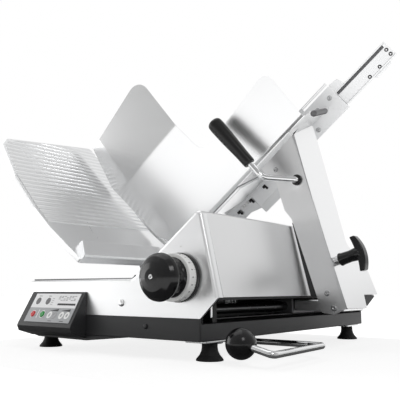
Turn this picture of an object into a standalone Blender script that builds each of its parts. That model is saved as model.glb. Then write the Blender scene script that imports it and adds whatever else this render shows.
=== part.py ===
"""Deli meat slicer: a gravity-feed slicer with a 330 mm blade, as separate parts.

Machine coordinates, in metres: X runs to the operator's right, Y away from the operator, Z up,
from the front right corner of the base, at the bottom of the base pan. ROOT_SHIFT moves them so
that the origin lies on the ground, under the middle of the machine.
"""
import math

import bmesh
import bpy
from mathutils import Matrix, Vector

# ---------------------------------------------------------------- driving dimensions
ROOT_SHIFT = Vector((0.1806, -0.2700, 0.0310))
GAP = 0.0003                       # clearance between touching pieces

SLOPE = math.radians(38.0)         # the table and the blade lean this far
ROLL = math.radians(23.0)          # the table's trough turns this far round the slope

BASE_X = (-0.411, 0.0)             # base pan and low body
BASE_Y = (0.0, 0.600)
PAN_TOP = 0.034
RECESS_X, RECESS_Y, RECESS_Z = -0.068, (0.051, 0.590), (0.026, 0.0652)
LOW_TOP = 0.093                    # top of the low half of the body
HOUSING_BACK = 0.450
WALL = 0.003
SHOULDER = Vector((-0.0013, 0.0, 0.2023))    # top edge of the right side panel
SKIRT = Vector((0.0325, 0.0, 0.0650))        # bottom edge of the right side panel

FOOT_RADIUS, FOOT_HEIGHT = 0.0215, 0.0270
FOOT_SPOTS = {"front_left": (-0.395, 0.045), "front_right": (-0.016, 0.045),
              "back_left": (-0.395, 0.552), "back_right": (-0.016, 0.552)}

KNOB_X, KNOB_Z = -0.0380, 0.0949   # thickness knob's axis, parallel to Y
BLADE_N, BLADE_Y, BLADE_T = 0.440, 0.415, -0.1385
BLADE_RADIUS = 0.165
GAUGE_FACE = -0.1405               # how far along the slope the gauge plate's face lies

WALL_F = 0.3648                    # trough wall, measured across the slope
FLOOR_W = 0.1624                   # trough floor
SHEET = 0.0015
RAIL_F = 0.6105                    # face of the table's support plate

ARM_FRONT = 0.280                  # front face of the carriage arm
RIDGE_LOW = Vector((0.1050, ARM_FRONT, 0.0430))
RIDGE_TOP = Vector((0.0084, ARM_FRONT, 0.3710))
SHAFT_X, SHAFT_Z, SHAFT_RADIUS = -0.0200, 0.0460, 0.0080     # carriage guide shaft
PUSHER_W, PUSHER_F = 0.2240, 0.5960                          # pusher's rod, parallel to the slope
LEVER_Y, LEVER_Z = 0.1680, -0.0100                           # lift lever's axis, parallel to X

# ---------------------------------------------------------------- directions
X, Y, Z = Vector((1, 0, 0)), Vector((0, 1, 0)), Vector((0, 0, 1))
T = Vector((math.cos(SLOPE), 0, math.sin(SLOPE)))            # up the slope
N = Vector((-math.sin(SLOPE), 0, math.cos(SLOPE)))           # off the slope
W = N * math.cos(ROLL) - Y * math.sin(ROLL)                  # up the trough's wall
F = Y * math.cos(ROLL) + N * math.sin(ROLL)                  # back along its floor

COLORS = {                         # colour, roughness, metallic
    "satin_aluminium": ((0.78, 0.79, 0.80), 0.35, 0.9),
    "brushed_steel": ((0.60, 0.61, 0.62), 0.38, 1.0),
    "stainless": ((0.72, 0.73, 0.74), 0.28, 1.0),
    "chrome": ((0.80, 0.80, 0.82), 0.10, 1.0),
    "black_paint": ((0.035, 0.036, 0.038), 0.45, 0.0),
    "black_plastic": ((0.015, 0.015, 0.016), 0.30, 0.0),
    "rubber": ((0.012, 0.012, 0.012), 0.70, 0.0),
    "panel_film": ((0.62, 0.63, 0.64), 0.40, 0.0),
    "white_plastic": ((0.85, 0.85, 0.85), 0.35, 0.0),
    "red_plastic": ((0.60, 0.02, 0.02), 0.35, 0.0),
    "green_plastic": ((0.02, 0.35, 0.06), 0.35, 0.0),
    "bronze": ((0.55, 0.36, 0.16), 0.40, 1.0),
    "cast_iron": ((0.20, 0.20, 0.21), 0.60, 0.8),
}


# ---------------------------------------------------------------- scene helpers
for old in list(bpy.data.objects):
    bpy.data.objects.remove(old)
PARTS = bpy.data.collections.new("deli_meat_slicer")
CUTTERS = bpy.data.collections.new("cutters")
bpy.context.scene.collection.children.link(PARTS)
bpy.context.scene.collection.children.link(CUTTERS)
ROOT = bpy.data.objects.new("machine_origin", None)
ROOT.location = ROOT_SHIFT
PARTS.objects.link(ROOT)


def material(name):
    """The named finish, made once."""
    found = bpy.data.materials.get(name)
    if found:
        return found
    color, rough, metal = COLORS[name]
    made = bpy.data.materials.new(name)
    made.use_nodes = True
    shader = made.node_tree.nodes["Principled BSDF"]
    shader.inputs["Base Color"].default_value = (*color, 1)
    shader.inputs["Roughness"].default_value = rough
    shader.inputs["Metallic"].default_value = metal
    made.diffuse_color = (*color, 1)
    return made


def axes(x, y, z, origin=(0, 0, 0)):
    """A placing matrix from three directions and an origin."""
    m = Matrix((x, y, z)).transposed().to_4x4()
    m.translation = Vector(origin)
    return m


SLOPE_FRAME = axes(Y, N, T)        # outline in (y, n), thickness along the slope
WALL_FRAME = axes(T, W, -F)        # outline in (t, w), thickness towards the operator
FLOOR_FRAME = axes(T, F, W)        # outline in (t, f), thickness up
SIDE_FRAME = axes(X, Z, -Y)        # outline in (x, z), thickness towards the operator


def turn_frame(direction, origin):
    """A frame whose Z runs along direction, for turned parts and cylinders."""
    z = Vector(direction).normalized()
    side = Y if abs(z.dot(Y)) < 0.9 else X
    x = side.cross(z).normalized()
    return axes(x, z.cross(x), z, origin)


def add(name, data, frame, finish=None, pivot=None):
    """Link an object under the machine's origin, or under a pivot empty."""
    obj = bpy.data.objects.new(name, data)
    if finish:
        data.materials.clear()
        data.materials.append(material(finish))
    PARTS.objects.link(obj)
    obj.parent = ROOT
    if pivot:
        obj.parent = pivot
        frame = Matrix.Translation(-pivot.location) @ frame
    obj.matrix_basis = frame
    return obj


def pivot_at(name, location):
    """An empty on a moving body's axis."""
    empty = bpy.data.objects.new(name, None)
    empty.location = location
    empty.parent = ROOT
    PARTS.objects.link(empty)
    return empty


def tagged(obj, finish):
    obj.data.materials.clear()
    obj.data.materials.append(material(finish))
    return obj


def outline_curve(points, depth, shift=0.0):
    """A filled 2D outline, extruded by depth from shift along its Z."""
    curve = bpy.data.curves.new("outline", "CURVE")
    curve.dimensions = "2D"
    curve.fill_mode = "BOTH"
    curve.extrude = depth / 2
    spline = curve.splines.new("POLY")
    spline.points.add(len(points) - 1)
    for point, (u, v) in zip(spline.points, points):
        point.co = (u, v, 0, 1)
    spline.use_cyclic_u = True
    return curve, Matrix.Translation((0, 0, shift + depth / 2))


def plate(name, points, depth, frame, shift=0.0, finish=None, pivot=None):
    """A flat piece with the given outline, welded to one closed mesh."""
    curve, lift = outline_curve(points, depth, shift)
    return meshed(add(name, curve, frame @ lift, None, pivot), finish)


def meshed(obj, finish=None):
    """Turn a curve object into a mesh object with welded caps."""
    bpy.context.view_layer.update()
    mesh = bpy.data.meshes.new_from_object(obj.evaluated_get(bpy.context.evaluated_depsgraph_get()))
    bm = bmesh.new()
    bm.from_mesh(mesh)
    bmesh.ops.remove_doubles(bm, verts=bm.verts, dist=1e-6)
    bmesh.ops.recalc_face_normals(bm, faces=bm.faces)
    bm.to_mesh(mesh)
    bm.free()
    name, parent, basis = obj.name, obj.parent, obj.matrix_basis.copy()
    bpy.data.objects.remove(obj)
    made = bpy.data.objects.new(name, mesh)
    PARTS.objects.link(made)
    made.parent = parent
    made.matrix_basis = basis
    if finish:
        tagged(made, finish)
    return made


def block(name, lo, hi, frame=Matrix(), finish=None, pivot=None, bevel=0.0):
    """A box between two corners of a frame, with rounded edges if bevel is set."""
    lo, hi = Vector(lo), Vector(hi)
    mesh = bpy.data.meshes.new(name)
    bm = bmesh.new()
    bmesh.ops.create_cube(bm, size=1.0)
    bmesh.ops.scale(bm, vec=hi - lo, verts=bm.verts)
    bm.to_mesh(mesh)
    bm.free()
    obj = add(name, mesh, frame @ Matrix.Translation((lo + hi) / 2), finish, pivot)
    if bevel:
        rounder = obj.modifiers.new("rounded", "BEVEL")
        rounder.width = bevel
        rounder.segments = 1
    return obj


def rod(name, start, end, radius, finish=None, pivot=None, sides=24):
    """A plain cylinder between two points."""
    start, end = Vector(start), Vector(end)
    mesh = bpy.data.meshes.new(name)
    bm = bmesh.new()
    bmesh.ops.create_cone(bm, cap_ends=True, segments=sides, radius1=radius, radius2=radius,
                          depth=(end - start).length)
    bm.to_mesh(mesh)
    bm.free()
    mesh.shade_smooth()
    mesh.set_sharp_from_angle(angle=math.radians(40))
    return add(name, mesh, turn_frame(end - start, (start + end) / 2), finish, pivot)


def turned(name, profile, direction, origin, finish=None, pivot=None, sides=32, angle=360.0,
           first=0.0):
    """A lathe part: profile of (radius, height) down its outer side, turned about direction."""
    mesh = bpy.data.meshes.new(name)
    bm = bmesh.new()
    spin = Matrix.Rotation(math.radians(first), 4, "Z")
    ring = [bm.verts.new(spin @ Vector((r, 0, h))) for r, h in profile]
    closed = profile[0][0] > 0 and profile[-1][0] > 0
    pairs = list(zip(ring, ring[1:])) + ([(ring[-1], ring[0])] if closed else [])
    for a, b in pairs:
        bm.edges.new((a, b))
    bm.to_mesh(mesh)
    bm.free()
    obj = add(name, mesh, turn_frame(direction, origin), finish, pivot)
    screw = obj.modifiers.new("turned", "SCREW")
    screw.angle = math.radians(angle)
    screw.steps = screw.render_steps = sides
    screw.use_merge_vertices = angle == 360.0
    screw.merge_threshold = 0.00005
    screw.use_normal_calculate = True
    screw.use_normal_flip = inside_out(obj)
    return obj


def inside_out(obj):
    """Whether a modified object's faces point inwards."""
    bpy.context.view_layer.update()
    bm = bmesh.new()
    bm.from_object(obj, bpy.context.evaluated_depsgraph_get())
    volume = bm.calc_volume(signed=True)
    bm.free()
    return volume < 0


def bent_rod(name, points, radius, finish=None, pivot=None, corner=0.0, sides=2):
    """A round bar through the points, with its corners bent at a radius."""
    path = rounded([Vector(p) for p in points], corner) if corner else [Vector(p) for p in points]
    curve = bpy.data.curves.new(name, "CURVE")
    curve.dimensions = "3D"
    curve.bevel_depth = radius
    curve.bevel_resolution = sides
    curve.use_fill_caps = True
    spline = curve.splines.new("POLY")
    spline.points.add(len(path) - 1)
    for point, co in zip(spline.points, path):
        point.co = (*co, 1)
    return meshed(add(name, curve, Matrix(), None, pivot), finish)


def rounded(points, radius, steps=4):
    """Replace each inner corner of a path by an arc."""
    out = [points[0]]
    for before, corner, after in zip(points, points[1:], points[2:]):
        a, b = (before - corner).normalized(), (after - corner).normalized()
        half = a.angle(b) / 2
        reach = radius / math.tan(half)
        center = corner + (a + b).normalized() * radius / math.sin(half)
        start, end = corner + a * reach - center, corner + b * reach - center
        sweep = start.angle(end)
        for k in range(steps + 1):
            s = k / steps
            out.append(center + (start * math.sin((1 - s) * sweep) + end * math.sin(s * sweep))
                       / math.sin(sweep))
    out.append(points[-1])
    return out


def boolean(target, other, operation):
    """Cut a tool out of a target, or join it on, and keep the result as the target's mesh."""
    modifier = target.modifiers.new(operation.lower(), "BOOLEAN")
    modifier.operation = operation
    modifier.solver = "EXACT"
    modifier.object = other
    bpy.context.view_layer.update()
    mesh = bpy.data.meshes.new_from_object(target.evaluated_get(bpy.context.evaluated_depsgraph_get()))
    target.modifiers.clear()
    target.data = mesh
    bpy.data.objects.remove(other)
    return target


def cut(target, *tools):
    for tool in tools:
        boolean(target, tool, "DIFFERENCE")
    return target


def join(target, *tools):
    for tool in tools:
        boolean(target, tool, "UNION")
    return target


def on_slope(t, n, y):
    return T * t + N * n + Y * y


def on_table(t, w, f):
    return T * t + W * w + F * f


# ---------------------------------------------------------------- base and body
def base():
    pan = block("base_pan", (BASE_X[0], BASE_Y[0], 0.0), (BASE_X[1], BASE_Y[1], PAN_TOP - GAP),
                finish="black_paint")
    cut(pan, block("t", (RECESS_X, RECESS_Y[0], RECESS_Z[0]), (0.1, RECESS_Y[1], 0.1)),
        block("t", (-0.407, 0.004, 0.004), (-0.072, 0.596, 0.1)),
        block("t", (-0.080, 0.004, 0.004), (-0.004, 0.596, 0.0222)))
    for name, (x, y) in FOOT_SPOTS.items():
        turned(f"foot_{name}", [(0.0, -GAP), (0.0120, -GAP), (0.0120, -0.0120),
                                (0.0130, -0.0175), (0.0165, -0.0240), (FOOT_RADIUS, -0.0285),
                                (FOOT_RADIUS, -0.0310), (0.0, -0.0310)],
               Z, (x, y, 0.0), "rubber", sides=24)


def body():
    outline = [(BASE_X[0], PAN_TOP), (BASE_X[1], PAN_TOP), (SKIRT.x, SKIRT.z),
               (SHOULDER.x, SHOULDER.z), (-0.0800, 0.1420), (-0.1370, 0.0980), (-0.1400, 0.0945),
               (BASE_X[0], LOW_TOP)]
    inside = [(-0.408, 0.030), (-0.071, 0.030), (-0.071, 0.0690), (0.0245, 0.0690),
              (-0.0050, 0.1955), (-0.0815, 0.1375), (-0.1345, 0.0965), (-0.1390, 0.0915),
              (-0.408, 0.0900)]
    shell = plate("body_shell", outline, HOUSING_BACK, SIDE_FRAME, -HOUSING_BACK, "satin_aluminium")
    join(shell, block("t", (BASE_X[0], 0.300, PAN_TOP), (RECESS_X + 0.066, BASE_Y[1], LOW_TOP)))
    lean = (SHOULDER - SKIRT).normalized()
    panel_frame = axes(Y, lean, Y.cross(lean), SKIRT)
    length = (SHOULDER - SKIRT).length
    cut(shell,
        block("t", (0.014, -0.010, -0.0015), (0.460, length + 0.010, 0.010), panel_frame),
        block("t", (RECESS_X, RECESS_Y[0], 0.020), (0.100, RECESS_Y[1], RECESS_Z[1])),
        plate("t", inside, HOUSING_BACK - 0.008, SIDE_FRAME, -HOUSING_BACK + 0.004),
        block("t", (-0.408, 0.400, 0.030), (-0.071, 0.596, 0.0900)),
        rod("t", (KNOB_X, -0.01, KNOB_Z), (KNOB_X, 0.02, KNOB_Z), 0.0065),
        rod("t", (-0.163, -0.01, 0.055), (-0.163, 0.02, 0.055), 0.0042),
        block("t", (-0.376, 0.223, 0.080), (-0.314, 0.275, 0.100)),
        block("t", (-0.398, 0.374, 0.080), (-0.281, 0.486, 0.100)),
        rod("t", (-0.300, -0.01, 0.052), (-0.300, 0.02, 0.052), 0.0060),
        rod("t", (-0.345, 0.58, 0.062), (-0.345, 0.62, 0.062), 0.0110))
    block("side_panel", (0.0143, 0.0005, -0.0012), (0.4495, length - 0.004, 0.0), panel_frame,
          "brushed_steel")
    turned("front_plug", [(0.0, 0.0035), (0.0035, 0.0030), (0.0058, 0.0010), (0.0058, GAP),
                          (0.0039, GAP), (0.0039, -0.0060), (0.0, -0.0060)],
           -Y, (-0.163, 0.0, 0.055), "satin_aluminium", sides=20)
    turned("power_inlet", [(0.0, -0.020), (0.0105, -0.020), (0.0105, 0.0005), (0.0150, 0.0005),
                           (0.0150, 0.0040), (0.0, 0.0040)],
           Y, (-0.345, 0.600, 0.062), "black_plastic", sides=24)


def control_box():
    """The wedge on the front left, with its printed face and the start and stop keys."""
    side = [(-0.0003, 0.073), (-0.0030, 0.0715), (-0.0340, 0.0175), (-0.0360, 0.0130),
            (-0.0320, 0.0040), (-0.0003, -0.0060)]
    box_frame = axes(Y, Z, X)
    box = plate("control_box", side, 0.146, box_frame, -0.393, "black_paint")
    top = Vector((-0.3155, -0.0030, 0.0715))
    low = Vector((-0.3155, -0.0340, 0.0175))
    up = (top - low).normalized()
    face = axes(X, up, X.cross(up), (top + low) / 2)
    block("control_panel", (-0.0615, -0.0285, GAP), (0.0615, 0.0285, 0.0012), face, "panel_film")
    seats = {"start_key": (-0.0180, "green_plastic"), "stop_key": (-0.0440, "red_plastic")}
    for name, (u, finish) in seats.items():
        pocket = rod("t", face @ Vector((u, -0.0135, -0.0045)), face @ Vector((u, -0.0135, 0.01)), 0.0062)
        pocket_panel = rod("t", face @ Vector((u, -0.0135, -0.01)), face @ Vector((u, -0.0135, 0.01)), 0.0062)
        cut(box, pocket)
        cut(bpy.data.objects["control_panel"], pocket_panel)
        pivot = pivot_at(f"{name}_axis", face @ Vector((u, -0.0135, 0)))
        rod(name, face @ Vector((u, -0.0135, -0.0015)), face @ Vector((u, -0.0135, 0.0030)), 0.0058,
            finish, pivot)


# ---------------------------------------------------------------- thickness setting
def thickness_setting():
    """Knob, dial, shaft and spiral cam turn together and push the gauge plate back."""
    pivot = pivot_at("thickness_axis", (KNOB_X, 0, KNOB_Z))
    axis = dict(direction=-Y, origin=(KNOB_X, 0, KNOB_Z), pivot=pivot)
    turned("knob", [(0.0, 0.0690), (0.0150, 0.0676), (0.0270, 0.0630), (0.0345, 0.0560),
                    (0.0362, 0.0490), (0.0350, 0.0430), (0.0300, 0.0385), (0.0255, 0.0340),
                    (0.0255, 0.0270), (0.0300, 0.0223), (0.0, 0.0223)], finish="black_plastic", sides=48,
           **axis)
    turned("dial_ring", [(0.0062, 0.0220), (0.0360, 0.0220), (0.0366, 0.0100), (0.0377, 0.0100),
                         (0.0377, 0.0010), (0.0062, 0.0010)], finish="white_plastic", sides=48, **axis)
    rod("thickness_shaft", (KNOB_X, -0.0217, KNOB_Z), (KNOB_X, 0.2600, KNOB_Z), 0.0059,
        "brushed_steel", pivot, 20)
    spiral = [(math.cos(a) * r, math.sin(a) * r) for k in range(40)
              for a, r in [(math.radians(k * 9), 0.010 + 0.012 * k / 40)]]
    cam = plate("thickness_cam", spiral, 0.008, axes(X, -Z, Y, (KNOB_X, 0.245, KNOB_Z)),
                finish="bronze", pivot=pivot)
    cut(cam, rod("t", (KNOB_X, 0.24, KNOB_Z), (KNOB_X, 0.26, KNOB_Z), 0.0062))


def gauge():
    """Ribbed stop plate in the slope's cross plane, with its forward lip, and its slide."""
    pivot = pivot_at("gauge_axis", on_slope(GAUGE_FACE, 0.30, 0.12))
    arc = []
    for k in range(9):
        n = 0.520 - k * (0.520 - 0.330) / 8
        arc.append((BLADE_Y - math.sqrt(0.171 ** 2 - (n - BLADE_N) ** 2), n))
    outline = [(-0.038, 0.569), (-0.044, 0.482), (-0.033, 0.400), (-0.022, 0.349), (0.003, 0.266),
               (0.270, 0.266)] + arc[::-1] + [(0.235, 0.560), (0.219, 0.624), (-0.020, 0.590)]
    gauge_plate = plate("gauge_plate", outline, 0.0115, SLOPE_FRAME, GAUGE_FACE - 0.0115,
                        "satin_aluminium", pivot)
    lip = [(0.004, 0.2661), (0.240, 0.2661), (0.250, 0.322), (0.034, 0.322), (0.006, 0.281)]
    join(gauge_plate, plate("t", lip, 0.0195, SLOPE_FRAME, GAUGE_FACE - 0.0010))
    bracket = [(-0.3418, 0.1898), (-0.3710, 0.1700), (-0.3460, 0.1200), (-0.3450, 0.0860),
               (-0.3250, 0.0860), (-0.3250, 0.1060), (-0.2957, 0.1307)]
    back = GAUGE_FACE - 0.0118
    bracket[0] = tuple((on_slope(back, 0.360, 0)).xz)
    bracket[-1] = tuple((on_slope(back, 0.290, 0)).xz)
    plate("gauge_bracket", bracket, 0.022, SIDE_FRAME, -0.260, "cast_iron", pivot)
    center = Vector((-0.335, 0.249, 0.0680))
    slider = turned("gauge_slide_block", [(0.0105, 0.015), (0.0105, -0.015), (0.0063, -0.015),
                                 (0.0063, 0.015)], T, center, "bronze", pivot, 20)
    join(meshed_turned(slider), rod("t", center + X * 0.0100 + Z * 0.0010, (-0.078, 0.249, 0.0690),
                                    0.0035, sides=12))
    cut(slider, rod("t", center - T * 0.05, center + T * 0.05, 0.0063, sides=20))
    rod("gauge_slide_shaft", center - T * 0.044, center + T * 0.020, 0.0060, "brushed_steel", None, 20)


# ---------------------------------------------------------------- blade and drive
def blade_drive():
    """Column with the motor inside, worm drive, blade, guard, cover and its tie rod."""
    front, back = BLADE_T - 0.0195, BLADE_T - 0.0995
    column_top = 0.500

    def line(t, z):
        """The point on the plane t at height z."""
        n = (z - t * T.z) / N.z
        return (t * T.x + n * N.x, z)

    foot = LOW_TOP + 0.0008
    tall = [(-0.405, foot), line(front, foot), tuple(on_slope(front, column_top, 0).xz),
            tuple(on_slope(back, column_top, 0).xz), (-0.405, line(back, 0.132)[1] - 0.0001)]
    column = plate("blade_column", tall, 0.120, SIDE_FRAME, -0.490, "satin_aluminium")
    hollow = [(-0.401, foot - 0.01), line(front - 0.004, foot - 0.01),
              tuple(on_slope(front - 0.004, column_top - 0.004, 0).xz),
              tuple(on_slope(back + 0.004, column_top - 0.004, 0).xz), (-0.401, 0.1336)]
    center = on_slope(0, BLADE_N, BLADE_Y)
    cut(column, plate("t", hollow, 0.112, SIDE_FRAME, -0.486),
        rod("t", center + T * (front - 0.01), center + T * (front + 0.01), 0.0224),
        rod("t", center + T * (back - 0.01), center + T * (back + 0.01), 0.0052))
    turned("bearing_housing", [(0.0220, BLADE_T - 0.0135), (0.0220, BLADE_T - 0.0385),
                               (0.0103, BLADE_T - 0.0385), (0.0103, BLADE_T - 0.0135)],
           T, center, "cast_iron", sides=32)
    pivot = pivot_at("blade_axis", center)
    turned("blade", [(0.0480, BLADE_T), (0.1550, BLADE_T), (BLADE_RADIUS, BLADE_T - 0.0022),
                     (BLADE_RADIUS, BLADE_T - 0.0026), (0.1500, BLADE_T - 0.0030),
                     (0.0050, BLADE_T - 0.0030), (0.0050, BLADE_T)],
           T, center, "stainless", pivot, 72)
    turned("blade_hub", [(0.0350, BLADE_T - 0.0033), (0.0350, BLADE_T - 0.0120),
                         (0.0100, BLADE_T - 0.0120), (0.0100, BLADE_T - 0.0760),
                         (0.0048, BLADE_T - 0.0760), (0.0048, BLADE_T - 0.0033)],
           T, center, "brushed_steel", pivot, 32)
    turned("worm_wheel", [(0.0225, BLADE_T - 0.0530), (0.0225, BLADE_T - 0.0670),
                          (0.0103, BLADE_T - 0.0670), (0.0103, BLADE_T - 0.0530)],
           T, center, "bronze", pivot, 32)
    turned("blade_cover", [(0.0, BLADE_T + 0.0026), (0.0600, BLADE_T + 0.0026),
                           (0.1180, BLADE_T + 0.0014), (0.1200, BLADE_T + 0.0004),
                           (0.0, BLADE_T + 0.0004)], T, center, "stainless", sides=64)
    knob_pivot = pivot_at("cover_knob_axis", center)
    turned("cover_knob", [(0.0, BLADE_T + 0.0001), (0.0045, BLADE_T + 0.0001), (0.0045, back - 0.0043),
                          (0.0080, back - 0.0043), (0.0150, back - 0.0080), (0.0170, back - 0.0140),
                          (0.0160, back - 0.0220), (0.0, back - 0.0240)],
           T, center, "black_plastic", knob_pivot, 24)
    ring = turned("guard_ring", [(0.1800, BLADE_T + 0.0020), (0.1800, BLADE_T - 0.0115),
                          (0.1690, BLADE_T - 0.0115), (0.1690, BLADE_T + 0.0020)],
           T, center, "satin_aluminium", sides=40, angle=180.0, first=guard_start())
    close_ends(meshed_turned(ring))
    block("guard_bracket", (0.4560, 0.425, BLADE_T - 0.0192), (0.5880, 0.455, BLADE_T - 0.0120),
          SLOPE_FRAME, "satin_aluminium")
    block("slice_deflector", (0.2720, 0.290, -0.1860), (0.3695, 0.500, -0.1840), SLOPE_FRAME,
          "stainless")
    worm = on_slope(BLADE_T - 0.0600, 0, BLADE_Y + 0.0330)
    rod("motor", worm + N * 0.235, worm + N * 0.345, 0.0300, "cast_iron", None, 28)
    worm_pivot = pivot_at("motor_axis", worm)
    turned("motor_worm", [(0.0, 0.480), (0.0040, 0.480), (0.0040, 0.466), (0.0090, 0.465),
                          (0.0090, 0.415), (0.0040, 0.414), (0.0040, 0.3455), (0.0, 0.3455)],
           N, worm, "brushed_steel", worm_pivot, 16)


def close_ends(obj):
    """Fill the two open ends of a part turned through less than a full circle."""
    bm = bmesh.new()
    bm.from_mesh(obj.data)
    bmesh.ops.holes_fill(bm, edges=bm.edges)
    bmesh.ops.recalc_face_normals(bm, faces=bm.faces)
    bm.to_mesh(obj.data)
    bm.free()


def guard_start():
    """Where the guard's half turn begins: at the bottom, counted in the lathe's own frame."""
    frame = turn_frame(T, (0, 0, 0)).to_3x3().inverted()
    start = frame @ (Y * math.cos(math.radians(-80)) + N * math.sin(math.radians(-80)))
    return math.degrees(math.atan2(start.y, start.x))


# ---------------------------------------------------------------- carriage
def carriage():
    """Guide, slide block, arm, product table and its rail: all slide along Y."""
    rod("guide_shaft", (SHAFT_X, RECESS_Y[0] + GAP, SHAFT_Z), (SHAFT_X, RECESS_Y[1] - GAP, SHAFT_Z),
        SHAFT_RADIUS, "chrome", None, 24)
    block("guide_bar", (-0.0640, 0.0550, RECESS_Z[0] + GAP), (-0.0500, 0.5860, 0.0300), finish="chrome")

    pivot = pivot_at("carriage_axis", (SHAFT_X, 0.3275, SHAFT_Z))
    slide = block("slide_block", (-0.0450, 0.2830, 0.0320), (-GAP, 0.3720, 0.0600),
                  finish="cast_iron", pivot=pivot)
    cut(slide, rod("t", (SHAFT_X, 0.27, SHAFT_Z), (SHAFT_X, 0.39, SHAFT_Z), 0.0115))
    join(slide, rod("t", (-0.0640, 0.3275, 0.0376), (-0.0440, 0.3275, 0.0376), 0.0025))
    for name, y in (("guide_bush_front", 0.2850), ("guide_bush_back", 0.3500)):
        turned(name, [(0.0112, 0.020), (0.0112, 0.0), (SHAFT_RADIUS + GAP, 0.0),
                      (SHAFT_RADIUS + GAP, 0.020)],
               Y, (SHAFT_X, y, SHAFT_Z), "bronze", pivot, 24)
    roller_pivot = pivot_at("roller_axis", (-0.055, 0.3275, 0.0376))
    turned("support_roller", [(0.0070, 0.0045), (0.0070, -0.0045), (0.0028, -0.0045),
                              (0.0028, 0.0045)],
           X, (-0.0555, 0.3275, 0.0376), "white_plastic", roller_pivot, 24)

    up = (RIDGE_TOP - RIDGE_LOW).normalized()
    side = axes(Y, up, Y.cross(up), RIDGE_LOW)
    front = [(0.0074, 0.3705), (-0.063, 0.310), (-0.030, 0.280), (-0.012, 0.225), (0.002, 0.208),
             (0.052, 0.058), (0.059, 0.035), (0.084, 0.033), (0.1040, 0.0435)]
    arm = plate("carriage_arm", front, 0.003, SIDE_FRAME, -(ARM_FRONT + 0.003), "satin_aluminium", pivot)
    flank = [(0.0, 0.0), (0.093, -0.001), (0.099, 0.025), (0.167, 0.025), (0.155, 0.0771),
             (0.093, 0.1251), (0.111, 0.3513), (0.112, 0.3888), (0.0, (RIDGE_TOP - RIDGE_LOW).length)]
    join(arm, plate("t", flank, 0.003, side, -0.003),
         block("t", (0.0, 0.2815, 0.0380), (0.1005, 0.3700, 0.0580)))
    cut(arm, rod("t", (0.0156, 0.27, 0.281), (0.0156, 0.30, 0.281), 0.0082),
        rod("t", side @ Vector((0.010, 0.086, -0.02)), side @ Vector((0.010, 0.086, 0.02)), 0.0048))

    block("table_bracket", (-0.020, 0.375, 0.1560), (0.080, 0.6100, 0.1620), FLOOR_FRAME,
          "satin_aluminium", pivot)
    web = [(0.003, 0.098), (0.175, 0.098), (0.185, 0.132), (0.317, 0.132), (0.317, 0.193),
           (0.250, 0.209), (0.003, 0.209)]
    web_plate = plate("support_plate", web, 0.003, WALL_FRAME, -RAIL_F - 0.003, "satin_aluminium", pivot)
    for t in (0.006, 0.2155):
        join(web_plate, block("t", (t, 0.5870, 0.1660), (t + 0.006, RAIL_F + 0.001, 0.2340), FLOOR_FRAME))
    cut(web_plate, rod("t", on_table(-0.01, PUSHER_W, PUSHER_F), on_table(0.23, PUSHER_W, PUSHER_F), 0.0062))
    channel = [(RAIL_F + 0.003, 0.138), (RAIL_F + 0.003, 0.177), (RAIL_F - 0.012, 0.177),
               (RAIL_F - 0.012, 0.174), (RAIL_F, 0.174), (RAIL_F, 0.141), (RAIL_F - 0.012, 0.141),
               (RAIL_F - 0.012, 0.138)]
    plate("rail_channel", channel, 0.1455, axes(F, W, T), 0.3175, "satin_aluminium", pivot)
    block("rail_joiner", (0.270, RAIL_F + 0.0033, 0.142), (0.370, RAIL_F + 0.0063, 0.173),
          FLOOR_FRAME, "brushed_steel", pivot)
    bent_rod("latch_rod", [on_table(0.290, 0.1535, 0.372), on_table(0.290, 0.1535, 0.496)], 0.0060,
             "black_plastic", pivot)
    table_sheet(pivot)
    handle(pivot)
    clamp_knob(side)
    pusher(pivot)


def table_sheet(pivot):
    """One stainless sheet: floor, wall, and a left strip bent back at a fold."""
    fold = 0.343 - FLOOR_W                       # distances up from the trough's corner
    top = fold + 0.147
    flat = [(-0.118, -0.243), (-0.118, 0.036), (-0.130, 0.053), (-0.130, fold),
            (-0.1345, fold + 0.025), (-0.120, fold + 0.130), (-0.112, fold + 0.141),
            (-0.095, fold + 0.137), (0.0485, top), (0.0600, fold + 0.1425), (0.0670, fold + 0.1370),
            (0.0745, fold + 0.1270), (0.0790, fold + 0.1170), (0.0800, fold), (0.0810, 0.1270),
            (0.0850, 0.1080), (0.0970, 0.1005), (0.1100, 0.1000), (0.2680, 0.1125), (0.2770, 0.1105),
            (0.2830, 0.1040), (0.2845, 0.0970), (0.2740, 0.0),
            (0.285, -0.020), (0.285, -0.243)]
    mesh = bpy.data.meshes.new("table_sheet")
    bm = bmesh.new()
    bm.faces.new([bm.verts.new((t, s, 0)) for t, s in flat])
    for height in (0.0, fold):
        bmesh.ops.bisect_plane(bm, geom=bm.verts[:] + bm.edges[:] + bm.faces[:],
                               plane_co=(0, height, 0), plane_no=(0, 1, 0), dist=1e-6)
    lean = math.radians(17.2)
    for vert in bm.verts:
        t, s, _ = vert.co
        if s < 0:
            vert.co = (t, WALL_F - s, FLOOR_W)
        elif s <= fold + 1e-6:
            vert.co = (t, WALL_F, FLOOR_W + s)
        else:
            vert.co = (t, WALL_F + (s - fold) * math.sin(lean), FLOOR_W + fold + (s - fold) * math.cos(lean))
    bmesh.ops.triangulate(bm, faces=bm.faces)
    bm.to_mesh(mesh)
    bm.free()
    sheet = add("table_sheet", mesh, FLOOR_FRAME, "stainless", pivot)
    shell = sheet.modifiers.new("thickness", "SOLIDIFY")
    shell.thickness = SHEET
    shell.offset = 1.0             # the thickness lies on the trough's inner side
    return sheet


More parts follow.
